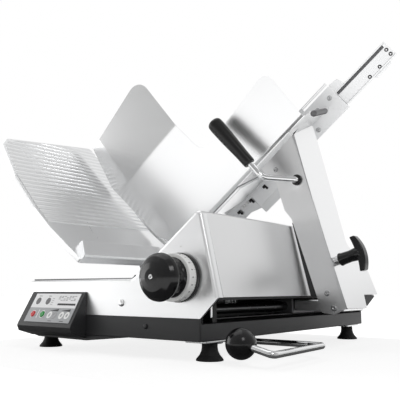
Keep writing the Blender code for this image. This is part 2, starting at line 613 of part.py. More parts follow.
def handle(pivot):
    """Bush in the arm, bent chrome rod, and a grip that can turn on it."""
    seat = Vector((0.0156, 0.280, 0.281))
    along = Vector((-0.486, -0.874, 0.0)).normalized()
    bend = seat + along * 0.0759
    lift = Vector((-0.602, -0.208, 0.771)).normalized()
    turned("handle_bush", [(0.0100, 0.0045), (0.0100, GAP), (0.0079, GAP), (0.0079, -0.0080),
                                  (0.0053, -0.0080), (0.0053, 0.0045)],
                  -Y, seat, "black_plastic", pivot, 24)
    bent_rod("handle_rod", [seat + Y * 0.008, seat - Y * 0.0090, bend, bend + lift * 0.141],
             0.0050, "chrome", pivot, corner=0.0040)
    grip_pivot = pivot_at("grip_axis", bend)
    start = 0.034
    grip = turned("handle_grip", [(0.0, start + 0.1130), (0.0105, start + 0.1115),
                                  (0.0143, start + 0.1060), (0.0148, start + 0.0980),
                                  (0.0118, start + 0.0350), (0.0110, start + 0.0010),
                                  (0.0098, start), (0.0, start)],
                  lift, bend, "rubber", grip_pivot, 24)
    cut(meshed_turned(grip), rod("t", bend, bend + lift * 0.1413, 0.0053))


def meshed_turned(obj):
    """Apply a turned part's modifier, so that it can be cut."""
    bpy.context.view_layer.update()
    mesh = bpy.data.meshes.new_from_object(obj.evaluated_get(bpy.context.evaluated_depsgraph_get()))
    obj.modifiers.clear()
    obj.data = mesh
    return obj


def clamp_knob(side):
    """T knob that locks the carriage; its spindle sits in a steel sleeve on the arm."""
    center = side @ Vector((0.010, 0.086, 0.0))
    out = (side.to_3x3() @ Z).normalized()
    carriage_pivot = bpy.data.objects["carriage_axis"]
    turned("knob_sleeve", [(0.0085, 0.0120), (0.0085, GAP), (0.0052, GAP), (0.0052, 0.0120)],
           out, center, "chrome", carriage_pivot, 24)
    pivot = pivot_at("clamp_axis", center)
    hub = turned("clamp_knob", [(0.0, 0.0520), (0.0120, 0.0520), (0.0110, 0.0330), (0.0110, 0.0150),
                                (0.0125, 0.0123), (0.0045, 0.0123), (0.0045, -0.0150), (0.0, -0.0150)],
                 out, center, "black_plastic", pivot, 24)
    meshed_turned(hub)
    bar_frame = turn_frame(out, center)
    bar = []
    for k in range(13):
        u = -0.0345 + 0.069 * k / 12
        bar.append((u, 0.062 - 8.0 * u * u))
    bar += [(u, v - 0.0125) for u, v in bar[::-1]]
    down = -(side.to_3x3() @ Y)
    bar_axes = axes(down, out, down.cross(out), center)
    join(hub, plate("t", bar, 0.017, bar_axes, -0.0085))


def pusher(pivot):
    """End-piece holder: a rod behind the trough, a slider, a swing arm, a toothed plate, a grip."""
    rod("pusher_rail", on_table(0.007, PUSHER_W, PUSHER_F), on_table(0.2205, PUSHER_W, PUSHER_F), 0.0059, "chrome",
        pivot, 20)
    slide_pivot = pivot_at("pusher_axis", on_table(0.150, PUSHER_W, PUSHER_F))
    turned("pusher_slider", [(0.0105, 0.170), (0.0105, 0.130), (0.0063, 0.130), (0.0063, 0.170)],
           T, on_table(0.0, PUSHER_W, PUSHER_F), "black_plastic", slide_pivot, 24)
    arm = plate("pusher_arm", [(0.3800, 0.1900), (0.5600, 0.1900), (0.5900, 0.2140), (0.5850, 0.2300),
                               (0.5450, 0.2050), (0.3800, 0.2050)],
                0.010, axes(F, W, T), 0.145, "satin_aluminium", slide_pivot)
    join(arm, rod("t", on_table(0.145, PUSHER_W, PUSHER_F), on_table(0.155, PUSHER_W, PUSHER_F), 0.0145))
    cut(arm, rod("t", on_table(0.13, PUSHER_W, PUSHER_F), on_table(0.17, PUSHER_W, PUSHER_F), 0.0108))
    plate("pusher_plate", [(0.400, 0.1680), (0.560, 0.1680), (0.560, 0.1850), (0.545, 0.1895),
                           (0.415, 0.1895), (0.400, 0.1850)],
          0.004, axes(F, W, T), 0.140, "black_plastic", slide_pivot)


# ---------------------------------------------------------------- lift lever
def lift_lever():
    """Cranked lever under the base: pushing the ball turns the cam foot."""
    pivot = pivot_at("lever_axis", (0, LEVER_Y, LEVER_Z))
    ball = Vector((0.065, 0.010, 0.001))
    bend = Vector((0.124, -0.002, -0.010))
    hairpin = Vector((0.116, LEVER_Y - 0.004, LEVER_Z))
    bent_rod("lever_rod", [ball + (bend - ball) * 0.30, bend, hairpin, (0.090, LEVER_Y, LEVER_Z),
                           (-0.095, LEVER_Y, LEVER_Z)], 0.0050, "chrome", pivot, corner=0.0062, sides=3)
    mesh = bpy.data.meshes.new("lever_ball")
    bm = bmesh.new()
    bmesh.ops.create_uvsphere(bm, u_segments=28, v_segments=16, radius=0.0225)
    bm.to_mesh(mesh)
    bm.free()
    mesh.shade_smooth()
    knob = add("lever_ball", mesh, Matrix.Translation(ball), "black_plastic", pivot)
    reach = (bend - ball).normalized()
    cut(knob, rod("t", ball + (bend - ball) * 0.29, ball + reach * 0.03, 0.0053))
    for name, x in (("lever_bracket_outer", -0.030), ("lever_bracket_inner", -0.090)):
        hanger = block(name, (x, LEVER_Y - 0.012, -0.0185), (x + 0.006, LEVER_Y + 0.012, -GAP),
                       finish="brushed_steel")
        cut(hanger, rod("t", (x - 0.01, LEVER_Y, LEVER_Z), (x + 0.02, LEVER_Y, LEVER_Z), 0.0053))
    cam = block("lever_cam", (-0.066, LEVER_Y - 0.0075, LEVER_Z - 0.0080),
                (-0.046, LEVER_Y + 0.0190, LEVER_Z + 0.0065), finish="cast_iron", pivot=pivot)
    cut(cam, rod("t", (-0.08, LEVER_Y, LEVER_Z), (-0.03, LEVER_Y, LEVER_Z), 0.0053))


base()
body()
control_box()
thickness_setting()
gauge()
blade_drive()
carriage()
lift_lever()
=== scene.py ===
"""The looks of the deli meat slicer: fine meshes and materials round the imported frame."""
import math

import bmesh
import bpy
from mathutils import Matrix, Vector


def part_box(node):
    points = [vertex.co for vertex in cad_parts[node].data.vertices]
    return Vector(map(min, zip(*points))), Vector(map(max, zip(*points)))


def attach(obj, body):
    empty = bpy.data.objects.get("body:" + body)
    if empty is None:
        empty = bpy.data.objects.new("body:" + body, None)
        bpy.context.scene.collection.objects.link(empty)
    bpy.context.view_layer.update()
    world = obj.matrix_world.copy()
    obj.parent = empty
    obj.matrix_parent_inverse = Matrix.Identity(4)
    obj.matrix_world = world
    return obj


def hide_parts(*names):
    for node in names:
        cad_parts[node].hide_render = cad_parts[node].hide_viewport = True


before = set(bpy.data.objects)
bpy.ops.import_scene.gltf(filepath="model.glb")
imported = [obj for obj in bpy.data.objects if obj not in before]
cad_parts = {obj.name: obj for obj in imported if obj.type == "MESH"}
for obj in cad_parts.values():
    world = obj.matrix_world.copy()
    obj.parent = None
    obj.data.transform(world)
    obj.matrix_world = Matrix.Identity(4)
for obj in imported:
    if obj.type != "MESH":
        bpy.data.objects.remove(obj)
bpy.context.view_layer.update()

# ---------------------------------------------------------------- measures (metres)
PAN_LOW, PAN_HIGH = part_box("base_pan")
ORIGIN = Vector((PAN_HIGH.x, PAN_LOW.y, PAN_LOW.z))   # front right bottom corner of the base pan

SLOPE, ROLL = math.radians(38.0), math.radians(23.0)
X, Y, Z = Vector((1, 0, 0)), Vector((0, 1, 0)), Vector((0, 0, 1))
T = Vector((math.cos(SLOPE), 0, math.sin(SLOPE)))            # up the slope
N = Vector((-math.sin(SLOPE), 0, math.cos(SLOPE)))           # off the slope
W = N * math.cos(ROLL) - Y * math.sin(ROLL)                  # up the trough's wall
F = Y * math.cos(ROLL) + N * math.sin(ROLL)                  # back along its floor

BASE_X, BASE_Y = -0.411, 0.6
PAN_TOP, LOW_TOP, HOUSING_BACK = 0.0337, 0.093, 0.45
SHOULDER, SKIRT = Vector((-0.0013, 0, 0.2023)), Vector((0.0325, 0, 0.065))
KNOB_X, KNOB_Z = -0.038, 0.0949
BLADE_N, BLADE_Y, BLADE_T = 0.44, 0.415, -0.1385
GAUGE_FACE = -0.1405
WALL_F, FLOOR_W, SHEET = 0.3648, 0.1624, 0.0015
FOLD = 0.343 - FLOOR_W             # height of the upper strip's fold above the table's floor
RAIL_F = 0.6105
RIDGE_LOW, RIDGE_TOP = Vector((0.105, 0.28, 0.043)), Vector((0.0084, 0.28, 0.371))
ARM_FRONT = 0.28
LEVER_Y, LEVER_Z = 0.168, -0.01
PUSHER_W, PUSHER_F = 0.224, 0.596


def axes(x, y, z, origin=(0, 0, 0)):
    """World matrix of a frame given by its directions and a point in machine coordinates."""
    m = Matrix((x, y, z)).transposed().to_4x4()
    m.translation = ORIGIN + Vector(origin)
    return m


MACHINE = axes(X, Y, Z)
SLOPE_FRAME = axes(Y, N, T)        # (y, n), thickness up the slope
WALL_FRAME = axes(T, W, -F)        # (t, w), thickness towards the operator
FLOOR_FRAME = axes(T, F, W)        # (t, f), thickness up
RAIL_FRAME = axes(F, W, T)         # (f, w), length up the slope
SIDE_FRAME = axes(X, Z, -Y)        # (x, z), thickness towards the operator


def on_slope(t, n, y):
    return T * t + N * n + Y * y


def on_table(t, w, f):
    return T * t + W * w + F * f


# ---------------------------------------------------------------- materials
def node(tree, kind, **values):
    made = tree.nodes.new(kind)
    for key, value in values.items():
        if key in made.inputs:
            made.inputs[key].default_value = value
        else:
            setattr(made, key, value)
    return made


GRAIN_LOW, GRAIN_HIGH = 0.3, 0.7   # the part of the noise's range that carries the variation
BROAD_SHARE = 0.35                 # how much of the grain is broad; the rest is fine


def material(name, color, rough, metal=0.0, stretch=(1, 1, 1), scale=60.0, rough_swing=0.08,
             color_swing=0.04, bump=0.0, spec=0.5, turn=(0, 0, 0)):
    """A Principled finish whose colour, roughness and bump follow a stretched noise grain."""
    mat = bpy.data.materials.new(name)
    mat.use_nodes = True
    tree = mat.node_tree
    shader = tree.nodes["Principled BSDF"]
    shader.inputs["Metallic"].default_value = metal
    shader.inputs["Coat Roughness"].default_value = 0.1
    shader.inputs["Specular IOR Level"].default_value = spec
    coords = node(tree, "ShaderNodeTexCoord")
    mapping = node(tree, "ShaderNodeMapping")
    mapping.inputs["Scale"].default_value = stretch
    mapping.inputs["Rotation"].default_value = turn
    fine = node(tree, "ShaderNodeTexNoise", Scale=scale, Detail=5.0, Roughness=0.6)
    broad = node(tree, "ShaderNodeTexNoise", Scale=5.0, Detail=2.0, Roughness=0.5)
    link = tree.links.new
    link(coords.outputs["Object"], mapping.inputs["Vector"])
    link(mapping.outputs["Vector"], fine.inputs["Vector"])
    link(coords.outputs["Object"], broad.inputs["Vector"])
    mix = node(tree, "ShaderNodeMath", operation="MULTIPLY_ADD")
    mix.inputs[1].default_value, mix.inputs[2].default_value = BROAD_SHARE, 0.0
    link(broad.outputs["Fac"], mix.inputs[0])
    both = node(tree, "ShaderNodeMath", operation="MULTIPLY_ADD")
    both.inputs[1].default_value = 1 - BROAD_SHARE
    link(fine.outputs["Fac"], both.inputs[0])
    link(mix.outputs[0], both.inputs[2])
    ramp = node(tree, "ShaderNodeMapRange")
    ramp.inputs["From Min"].default_value = GRAIN_LOW
    ramp.inputs["From Max"].default_value = GRAIN_HIGH
    ramp.inputs["To Min"].default_value = max(0.02, rough - rough_swing)
    ramp.inputs["To Max"].default_value = rough + rough_swing
    link(both.outputs[0], ramp.inputs["Value"])
    link(ramp.outputs["Result"], shader.inputs["Roughness"])
    tint = node(tree, "ShaderNodeMix", data_type="RGBA")
    tint.inputs[6].default_value = (*(c * (1 - color_swing) for c in color), 1)
    tint.inputs[7].default_value = (*(min(1.0, c * (1 + color_swing)) for c in color), 1)
    spread = node(tree, "ShaderNodeMapRange")
    spread.inputs["From Min"].default_value = GRAIN_LOW
    spread.inputs["From Max"].default_value = GRAIN_HIGH
    link(both.outputs[0], spread.inputs["Value"])
    link(spread.outputs["Result"], tint.inputs[0])
    link(tint.outputs[2], shader.inputs["Base Color"])
    if bump:
        relief = node(tree, "ShaderNodeBump")
        relief.inputs["Strength"].default_value = bump
        relief.inputs["Distance"].default_value = 0.0005
        link(fine.outputs["Fac"], relief.inputs["Height"])
        link(relief.outputs["Normal"], shader.inputs["Normal"])
    return mat


ALUMINIUM = material("satin_aluminium_fine", (0.86, 0.865, 0.87), 0.34, 1.0,
    stretch=(0.1, 1, 1), scale=60, bump=0.0015, color_swing=0.01, rough_swing=0.02)
CAST = material("polished_casting", (0.88, 0.885, 0.89), 0.29, 1.0,
    stretch=(1, 0.06, 1), scale=60, bump=0.004, color_swing=0.01, rough_swing=0.02)
STAINLESS = material("stainless_sheet", (0.8, 0.803, 0.807), 0.26, 1.0,
    stretch=(0.08, 1, 1), scale=50, bump=0.002, color_swing=0.008, rough_swing=0.015, turn=(0, 0.66, 0))
PANEL = material("brushed_panel", (0.78, 0.783, 0.787), 0.36, 1.0,
    stretch=(1, 0.04, 1), scale=90, bump=0.006, color_swing=0.012, rough_swing=0.03)
ARM = material("brushed_arm", (0.86, 0.863, 0.867), 0.3, 1.0, stretch=(1, 1, 0.05),
    scale=70, bump=0.0012, color_swing=0.01, rough_swing=0.02)
CHROME = material("chrome_bright", (0.72, 0.725, 0.73), 0.1, 1.0, scale=40, rough_swing=0.02)
# Painted shade: bright guide metal coloured near-black for the shade in the carriage recess.
SHADED_METAL = material("metal_painted_shade", (0.085, 0.086, 0.088), 0.24, 1.0, scale=90, bump=0.02)
STEEL = material("turned_steel", (0.5, 0.505, 0.51), 0.28, 1.0, scale=140, bump=0.02)
BLADE = material("ground_blade", (0.74, 0.745, 0.75), 0.16, 1.0, scale=200, bump=0.02,
    rough_swing=0.04)
PAINT = material("dark_paint", (0.03, 0.0305, 0.032), 0.42, scale=500, bump=0.06,
    rough_swing=0.05, color_swing=0.08, spec=0.35)
BLACK = material("black_gloss", (0.006, 0.006, 0.0065), 0.17, scale=30,
    rough_swing=0.04, spec=0.38)
GRIP = material("black_grip", (0.006, 0.006, 0.006), 0.3, scale=400, bump=0.05,
    rough_swing=0.04, spec=0.35)
RUBBER = material("foot_rubber", (0.01, 0.01, 0.01), 0.62, scale=300, bump=0.12,
    rough_swing=0.08, color_swing=0.15, spec=0.3)
# Painted shade: a black darker than the pan's paint, for the hollows of the recess, the ledge and the
# vents.
SHADE_BLACK = material("painted_shade_black", (0.008, 0.008, 0.009), 0.45, scale=200, bump=0.05,
    spec=0.3)
WHITE = material("dial_white", (0.8, 0.8, 0.79), 0.32, scale=60, rough_swing=0.05,
    color_swing=0.015)
FILM = material("panel_film", (0.36, 0.37, 0.38), 0.35, scale=300, rough_swing=0.04,
    color_swing=0.02, bump=0.03)
FILM_WHITE = material("panel_film_white", (0.8, 0.8, 0.81), 0.33, scale=300,
    rough_swing=0.04, color_swing=0.01)
INK = material("panel_ink", (0.015, 0.015, 0.016), 0.4, scale=200)
INK_GREY = material("panel_ink_grey", (0.12, 0.12, 0.125), 0.4, scale=200)
# Painted reflection: a dark grey line standing in for the dark reflection on the low body's rounded top
# edge.
EDGE_REFLECTION = material("painted_edge_reflection", (0.13, 0.13, 0.135), 0.5, scale=200)
INK_PALE = material("panel_ink_pale", (0.36, 0.36, 0.37), 0.4, scale=200)
RED = material("key_red", (0.52, 0.012, 0.018), 0.28, scale=60)
GREEN = material("key_green", (0.012, 0.26, 0.045), 0.28, scale=60)
BRONZE = material("bronze", (0.5, 0.33, 0.15), 0.34, 1.0, scale=120, bump=0.03)
IRON = material("cast_iron", (0.15, 0.15, 0.155), 0.5, 0.8, scale=220, bump=0.12,
    rough_swing=0.08)


# ---------------------------------------------------------------- mesh helpers
def link_object(name, data, matrix, mat):
    obj = bpy.data.objects.new(name, data)
    bpy.context.scene.collection.objects.link(obj)
    obj.matrix_world = matrix
    if mat:
        data.materials.append(mat)
    return obj


def smooth(obj, angle=35.0):
    obj.data.shade_smooth()
    obj.data.set_sharp_from_angle(angle=math.radians(angle))
    return obj


def soften(obj, width, segments=3, angle=30.0):
    """Round every edge sharper than the angle, with faces kept flat by weighted normals."""
    edge = obj.modifiers.new("rounded", "BEVEL")
    edge.width, edge.segments = width, segments
    edge.limit_method, edge.angle_limit = "ANGLE", math.radians(angle)
    obj.data.shade_smooth()
    face = obj.modifiers.new("flat_faces", "WEIGHTED_NORMAL")
    face.keep_sharp = True
    return obj


def arc_corner(before, corner, after, radius, steps):
    a, b = (before - corner).normalized(), (after - corner).normalized()
    half = a.angle(b) / 2
    reach = radius / math.tan(half)
    center = corner + (a + b).normalized() * radius / math.sin(half)
    start, end = corner + a * reach - center, corner + b * reach - center
    sweep = start.angle(end)
    return [center + (start * math.sin((1 - k / steps) * sweep) + end * math.sin(k / steps * sweep)) /
        math.sin(sweep) for k in range(steps + 1)]


def outline(corners, steps=8):
    """Closed outline from (u, v) or (u, v, radius) corners."""
    out, count = [], len(corners)
    for i, corner in enumerate(corners):
        if len(corner) == 2 or not corner[2]:
            out.append(tuple(corner[:2]))
            continue
        before, here, after = (Vector((*corners[(i + k) % count][:2], 0)) for k in (-1, 0, 1))
        out += [tuple(p[:2]) for p in arc_corner(before, here, after, corner[2], steps)]
    return out


def bent_path(points, radius, steps=8):
    out = [points[0]]
    for a, b, c in zip(points, points[1:], points[2:]):
        out += arc_corner(a, b, c, radius, steps)
    return out + [points[-1]]


def slab(name, points, low, high, matrix, mat=None):
    """A prism over an outline, between two heights of a frame."""
    mesh = bpy.data.meshes.new(name)
    bm = bmesh.new()
    face = bm.faces.new([bm.verts.new((u, v, low)) for u, v in points])
    grown = bmesh.ops.extrude_face_region(bm, geom=[face])
    tops = [v for v in grown["geom"] if isinstance(v, bmesh.types.BMVert)]
    bmesh.ops.translate(bm, verts=tops, vec=(0, 0, high - low))
    bmesh.ops.recalc_face_normals(bm, faces=bm.faces)
    bm.to_mesh(mesh)
    bm.free()
    return link_object(name, mesh, matrix, mat)


def block(name, lo, hi, matrix=MACHINE, mat=None):
    (x0, y0, z0), (x1, y1, z1) = lo, hi
    return slab(name, [(x0, y0), (x1, y0), (x1, y1), (x0, y1)], z0, z1, matrix, mat)


def turn_matrix(direction, origin):
    z = Vector(direction).normalized()
    side = Y if abs(z.dot(Y)) < 0.9 else X
    x = side.cross(z).normalized()
    return axes(x, z.cross(x), z, origin)


def lathe(name, profile, direction, origin, mat, steps=96, shape=None, angle=(0, 360)):
    """Turn a (radius, height) profile; shape(radius, height, angle) can vary the radius."""
    mesh = bpy.data.meshes.new(name)
    bm = bmesh.new()
    full = angle[1] - angle[0] == 360
    rows = []
    for k in range(steps + (0 if full else 1)):
        a = math.radians(angle[0] + (angle[1] - angle[0]) * k / steps)
        row = []
        for r, h in profile:
            radius = shape(r, h, a) if shape else r
            row.append(bm.verts.new((radius * math.cos(a), radius * math.sin(a), h)))
        rows.append(row)
    closed = profile[0] == profile[-1]
    for k in range(steps):
        near, far = rows[k], rows[(k + 1) % len(rows)]
        for i in range(len(profile) - 1):
            bm.faces.new((near[i], near[i + 1], far[i + 1], far[i]))
    if not full:
        bm.faces.new([v for v in rows[0][:-1 if closed else None]])
        bm.faces.new([v for v in rows[-1][:-1 if closed else None]])
    bmesh.ops.remove_doubles(bm, verts=bm.verts, dist=1e-7)
    bmesh.ops.dissolve_degenerate(bm, edges=bm.edges, dist=1e-7)
    bmesh.ops.recalc_face_normals(bm, faces=bm.faces)
    bm.to_mesh(mesh)
    bm.free()
    return smooth(link_object(name, mesh, turn_matrix(direction, origin), mat))


def softened(profile, radius, steps=4):
    """Round the inner corners of an open lathe profile."""
    points = [Vector((r, h, 0)) for r, h in profile]
    out = [points[0]]
    for a, b, c in zip(points, points[1:], points[2:]):
        near = min((a - b).length, (c - b).length) * 0.45
        bend = (a - b).angle(c - b, math.pi)
        size = min(radius, near * math.tan(bend / 2))
        if bend > math.radians(172) or size < 1e-5:
            out.append(b)
        else:
            out += arc_corner(a, b, c, size, steps)
    return [(p.x, p.y) for p in out + [points[-1]]]


def tube(name, points, radius, mat, bend=0.0, steps=10):
    """A round bar along a path, with rounded bends; kept as a curve."""
    path = bent_path([Vector(p) for p in points], bend, steps) if bend else [Vector(p) for p in points]
    curve = bpy.data.curves.new(name, "CURVE")
    curve.dimensions = "3D"
    curve.bevel_depth, curve.bevel_resolution, curve.use_fill_caps = radius, 7, True
    spline = curve.splines.new("POLY")
    spline.points.add(len(path) - 1)
    for point, co in zip(spline.points, path):
        point.co = (*co, 1)
    return link_object(name, curve, MACHINE, mat)


def rod(name, start, end, radius, mat, steps=48, edge=0.0006):
    start, end = Vector(start), Vector(end)
    long = (end - start).length
    profile = [(0, long), (radius - edge, long), (radius, long - edge), (radius, edge),
        (radius - edge, 0), (0, 0)]
    return lathe(name, profile, end - start, start, mat, steps)


def boolean(target, tool, operation="DIFFERENCE"):
    modifier = target.modifiers.new("cut", "BOOLEAN")
    modifier.operation, modifier.object, modifier.solver = operation, tool, "EXACT"
    bpy.context.view_layer.update()
    mesh = bpy.data.meshes.new_from_object(target.evaluated_get(bpy.context.evaluated_depsgraph_get()))
    target.modifiers.clear()
    target.data = mesh
    bpy.data.objects.remove(tool)
    return target


def round_edges(obj, radius, keep, segments=8):
    """Round the edges whose two ends, in machine coordinates, pass keep(a, b)."""
    place = MACHINE.inverted() @ obj.matrix_world
    bm = bmesh.new()
    bm.from_mesh(obj.data)
    chosen = [e for e in bm.edges if keep(place @ e.verts[0].co, place @ e.verts[1].co)]
    bmesh.ops.bevel(bm, geom=chosen, offset=radius, segments=segments, profile=0.5, affect="EDGES",
        clamp_overlap=False)
    bm.to_mesh(obj.data)
    bm.free()


def merged(name, pieces):
    """Join evaluated pieces into one mesh object that keeps their materials."""
    bpy.context.view_layer.update()
    graph = bpy.context.evaluated_depsgraph_get()
    bm, mats = bmesh.new(), []
    for piece in pieces:
        mesh = bpy.data.meshes.new_from_object(piece.evaluated_get(graph))
        mesh.transform(piece.matrix_world)
        offset = []
        for mat in mesh.materials:
            if mat not in mats:
                mats.append(mat)
            offset.append(mats.index(mat))
        for face in mesh.polygons:
            face.material_index = offset[face.material_index]
        bm.from_mesh(mesh)
        bpy.data.meshes.remove(mesh)
    made = bpy.data.meshes.new(name)
    bm.to_mesh(made)
    bm.free()
    for mat in mats:
        made.materials.append(mat)
    for piece in pieces:
        bpy.data.objects.remove(piece)
    obj = bpy.data.objects.new(name, made)
    bpy.context.scene.collection.objects.link(obj)
    return obj


def settle(obj, body, *nodes, slot=None):
    """Ride a piece on a body and let it stand for CAD nodes; slot is not used."""
    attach(obj, body)
    if nodes:
        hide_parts(*nodes)
    return obj


def set_slab(name, corners, steps, low, high, matrix, mat, rounding, body, *nodes):
    """Settle a slab over rounded corners; rounding is the width and segments for soften."""
    settle(soften(slab(name, outline(corners, steps), low, high, matrix, mat), *rounding), body, *nodes)


def set_lathe(name, profile, rounding, direction, origin, mat, steps, body, *nodes):
    """Settle a turned piece; rounding is the radius and steps for its profile's corners."""
    settle(lathe(name, softened(profile, *rounding), direction, origin, mat, steps), body, *nodes)


# ---------------------------------------------------------------- base, feet and body
def make_pan():
    """Dark pan with its open guide channel, button and under-tray, and the feet with their plates."""
    pan = slab("pan", outline([(BASE_X, 0, 0.003), (0, 0, 0.003), (0, BASE_Y, 0.003),
        (BASE_X, BASE_Y, 0.003)], 4), 0.0, PAN_TOP, MACHINE, PAINT)
    boolean(pan, block("t", (-0.068, 0.004, 0.026), (0.1, 0.59, 0.1)))
    soften(pan, 0.0012, 2)
    settle(pan, "base", "base_pan")
    set_lathe("pan_button", [(0.0, 0.003), (0.003, 0.0026), (0.0042, 0.001), (0.0042, 0.0), (0.0, 0.0)],
        (0.0012,), -Y, (-0.1087, 0.0, 0.0192), PAINT, 48, "base")
    set_slab("under_tray", [(-0.393, -0.0002), (-0.3925, -0.0052, 0.002), (-0.378, -0.0084, 0.003),
        (-0.248, -0.0098, 0.004), (-0.148, -0.0002)], 4, -0.03, -0.001, SIDE_FRAME, PAINT, (0.0008, 2),
        "base")
    for name, (x, y) in FEET.items():
        set_slab(f"foot_plate_{name}", [(x - 0.026, y - 0.03, 0.004), (x + 0.0155, y - 0.03, 0.004),
            (x + 0.0155, y + 0.03, 0.004), (x - 0.026, y + 0.03, 0.004)], 8, -0.0032, -0.0002, MACHINE,
            ALUMINIUM, (0.0006, 2), "base")
        foot = lathe(f"foot_{name}_rubber", softened([(0.0, -0.0034), (0.0125, -0.0034),
            (0.0122, -0.0105), (0.0132, -0.0165), (0.016, -0.0225), (0.02, -0.027), (0.0214, -0.029),
            (0.0214, -0.031), (0.0, -0.031)], 0.004, 6), Z, (x, y, 0.0), RUBBER)
        settle(foot, "base", f"foot_{name}")


FEET = {"front_left": (-0.395, 0.045), "front_right": (-0.016, 0.045), "back_left": (-0.395, 0.552),
    "back_right": (-0.016, 0.552)}


def make_housing():
    """Aluminium body: low left half, raised right half with a broad rounded front edge."""
    profile = outline([(BASE_X, 0.034), (-0.0005, 0.034), (0.032, 0.0648, 0.0015),
        (SHOULDER.x, SHOULDER.z, 0.008), (-0.137, 0.098, 0.012), (-0.145, 0.0945),
        (BASE_X + 0.0005, LOW_TOP, 0.008)], 8)
    body = slab("housing", profile, -HOUSING_BACK, 0.0, SIDE_FRAME, ALUMINIUM)
    round_edges(body, 0.0062, lambda a, b: max(a.y, b.y) < 1e-5 and max(a.z, b.z) > 0.0655, 8)
    low = block("t", (BASE_X + 0.0005, 0.3, 0.034), (-0.002, BASE_Y, LOW_TOP))
    boolean(body, low, "UNION")
    lean = (SHOULDER - SKIRT).normalized()
    panel_frame = axes(Y, lean, Y.cross(lean), SKIRT)
    boolean(body, block("t", (0.014, -0.01, -0.0018), (0.46, 0.132, 0.02), panel_frame))
    boolean(body, block("t", (-0.068, 0.004, 0.02), (0.1, 0.59, 0.0652)))
    boolean(body, block("t", (-0.376, 0.223, 0.07), (-0.314, 0.275, 0.1)))
    soften(body, 0.001, 2, 40)
    settle(body, "base", "body_shell")

    length = (SHOULDER - SKIRT).length
    set_slab("housing_side", [(0.0146, 0.0006, 0.001), (0.4492, 0.0006, 0.001),
        (0.4492, length - 0.0085, 0.002), (0.0146, length - 0.0085, 0.002)], 4, -0.0014, -0.0002,
        panel_frame, PANEL, (0.0004, 2), "base", "side_panel")
    # These near-black pieces line the guide channel: painted shade of the recess's hollow.
    for name, low_corner, high_corner in (
            ("liner", (-0.0674, 0.0046, 0.0614), (0.03, 0.5895, 0.065)),
            ("wall", (-0.0679, 0.0046, 0.0262), (-0.0664, 0.5895, 0.0612)),
            ("front", (-0.0662, 0.0042, 0.0262), (0.001, 0.0056, 0.0612)),
            ("shaft_seat", (-0.033, 0.04, 0.0262), (-0.007, 0.0512, 0.061))):
        settle(soften(block(f"recess_{name}", low_corner, high_corner, MACHINE, SHADE_BLACK), 0.0004, 2),
            "base")
    set_lathe("front_cap", [(0.0, 0.0035), (0.003, 0.0033), (0.005, 0.0022), (0.006, 0.0002),
        (0.006, 0.0), (0.0, 0.0)], (0.001,), -Y, (-0.163, -0.0002, 0.055), CAST, 48, "base",
        "front_plug")
    # A dark grey strip along the low body's top edge: a painted reflection of its rounding.
    set_slab("body_edge_reflection", [(-0.405, LOW_TOP - 0.0004), (-0.146, LOW_TOP - 0.0004, 0.008),
        (-0.139, LOW_TOP + 0.0066), (-0.142, LOW_TOP + 0.0078), (-0.1475, LOW_TOP + 0.0028, 0.006),
        (-0.405, LOW_TOP + 0.0028)], 6, -0.011, -0.0082, SIDE_FRAME, EDGE_REFLECTION, (0.0006, 2), "base")
    mark = lathe("index_dot", [(0.0, 0.0007), (0.0012, 0.0006), (0.0017, 0.0), (0.0, 0.0)], -Y,
        (-0.038, 0.0, 0.143), WHITE, 24)
    settle(mark, "base", slot="satin_aluminium")
    screws = [lathe("t", softened([(0.0, 0.0012), (0.0026, 0.001), (0.0034, 0.0), (0.0, 0.0)], 0.0003),
        Y, (x, 0.6, z), STEEL, 24) for x in (-0.395, -0.2, -0.015) for z in (0.046, 0.082)]
    settle(merged("back_screws", screws), "base")


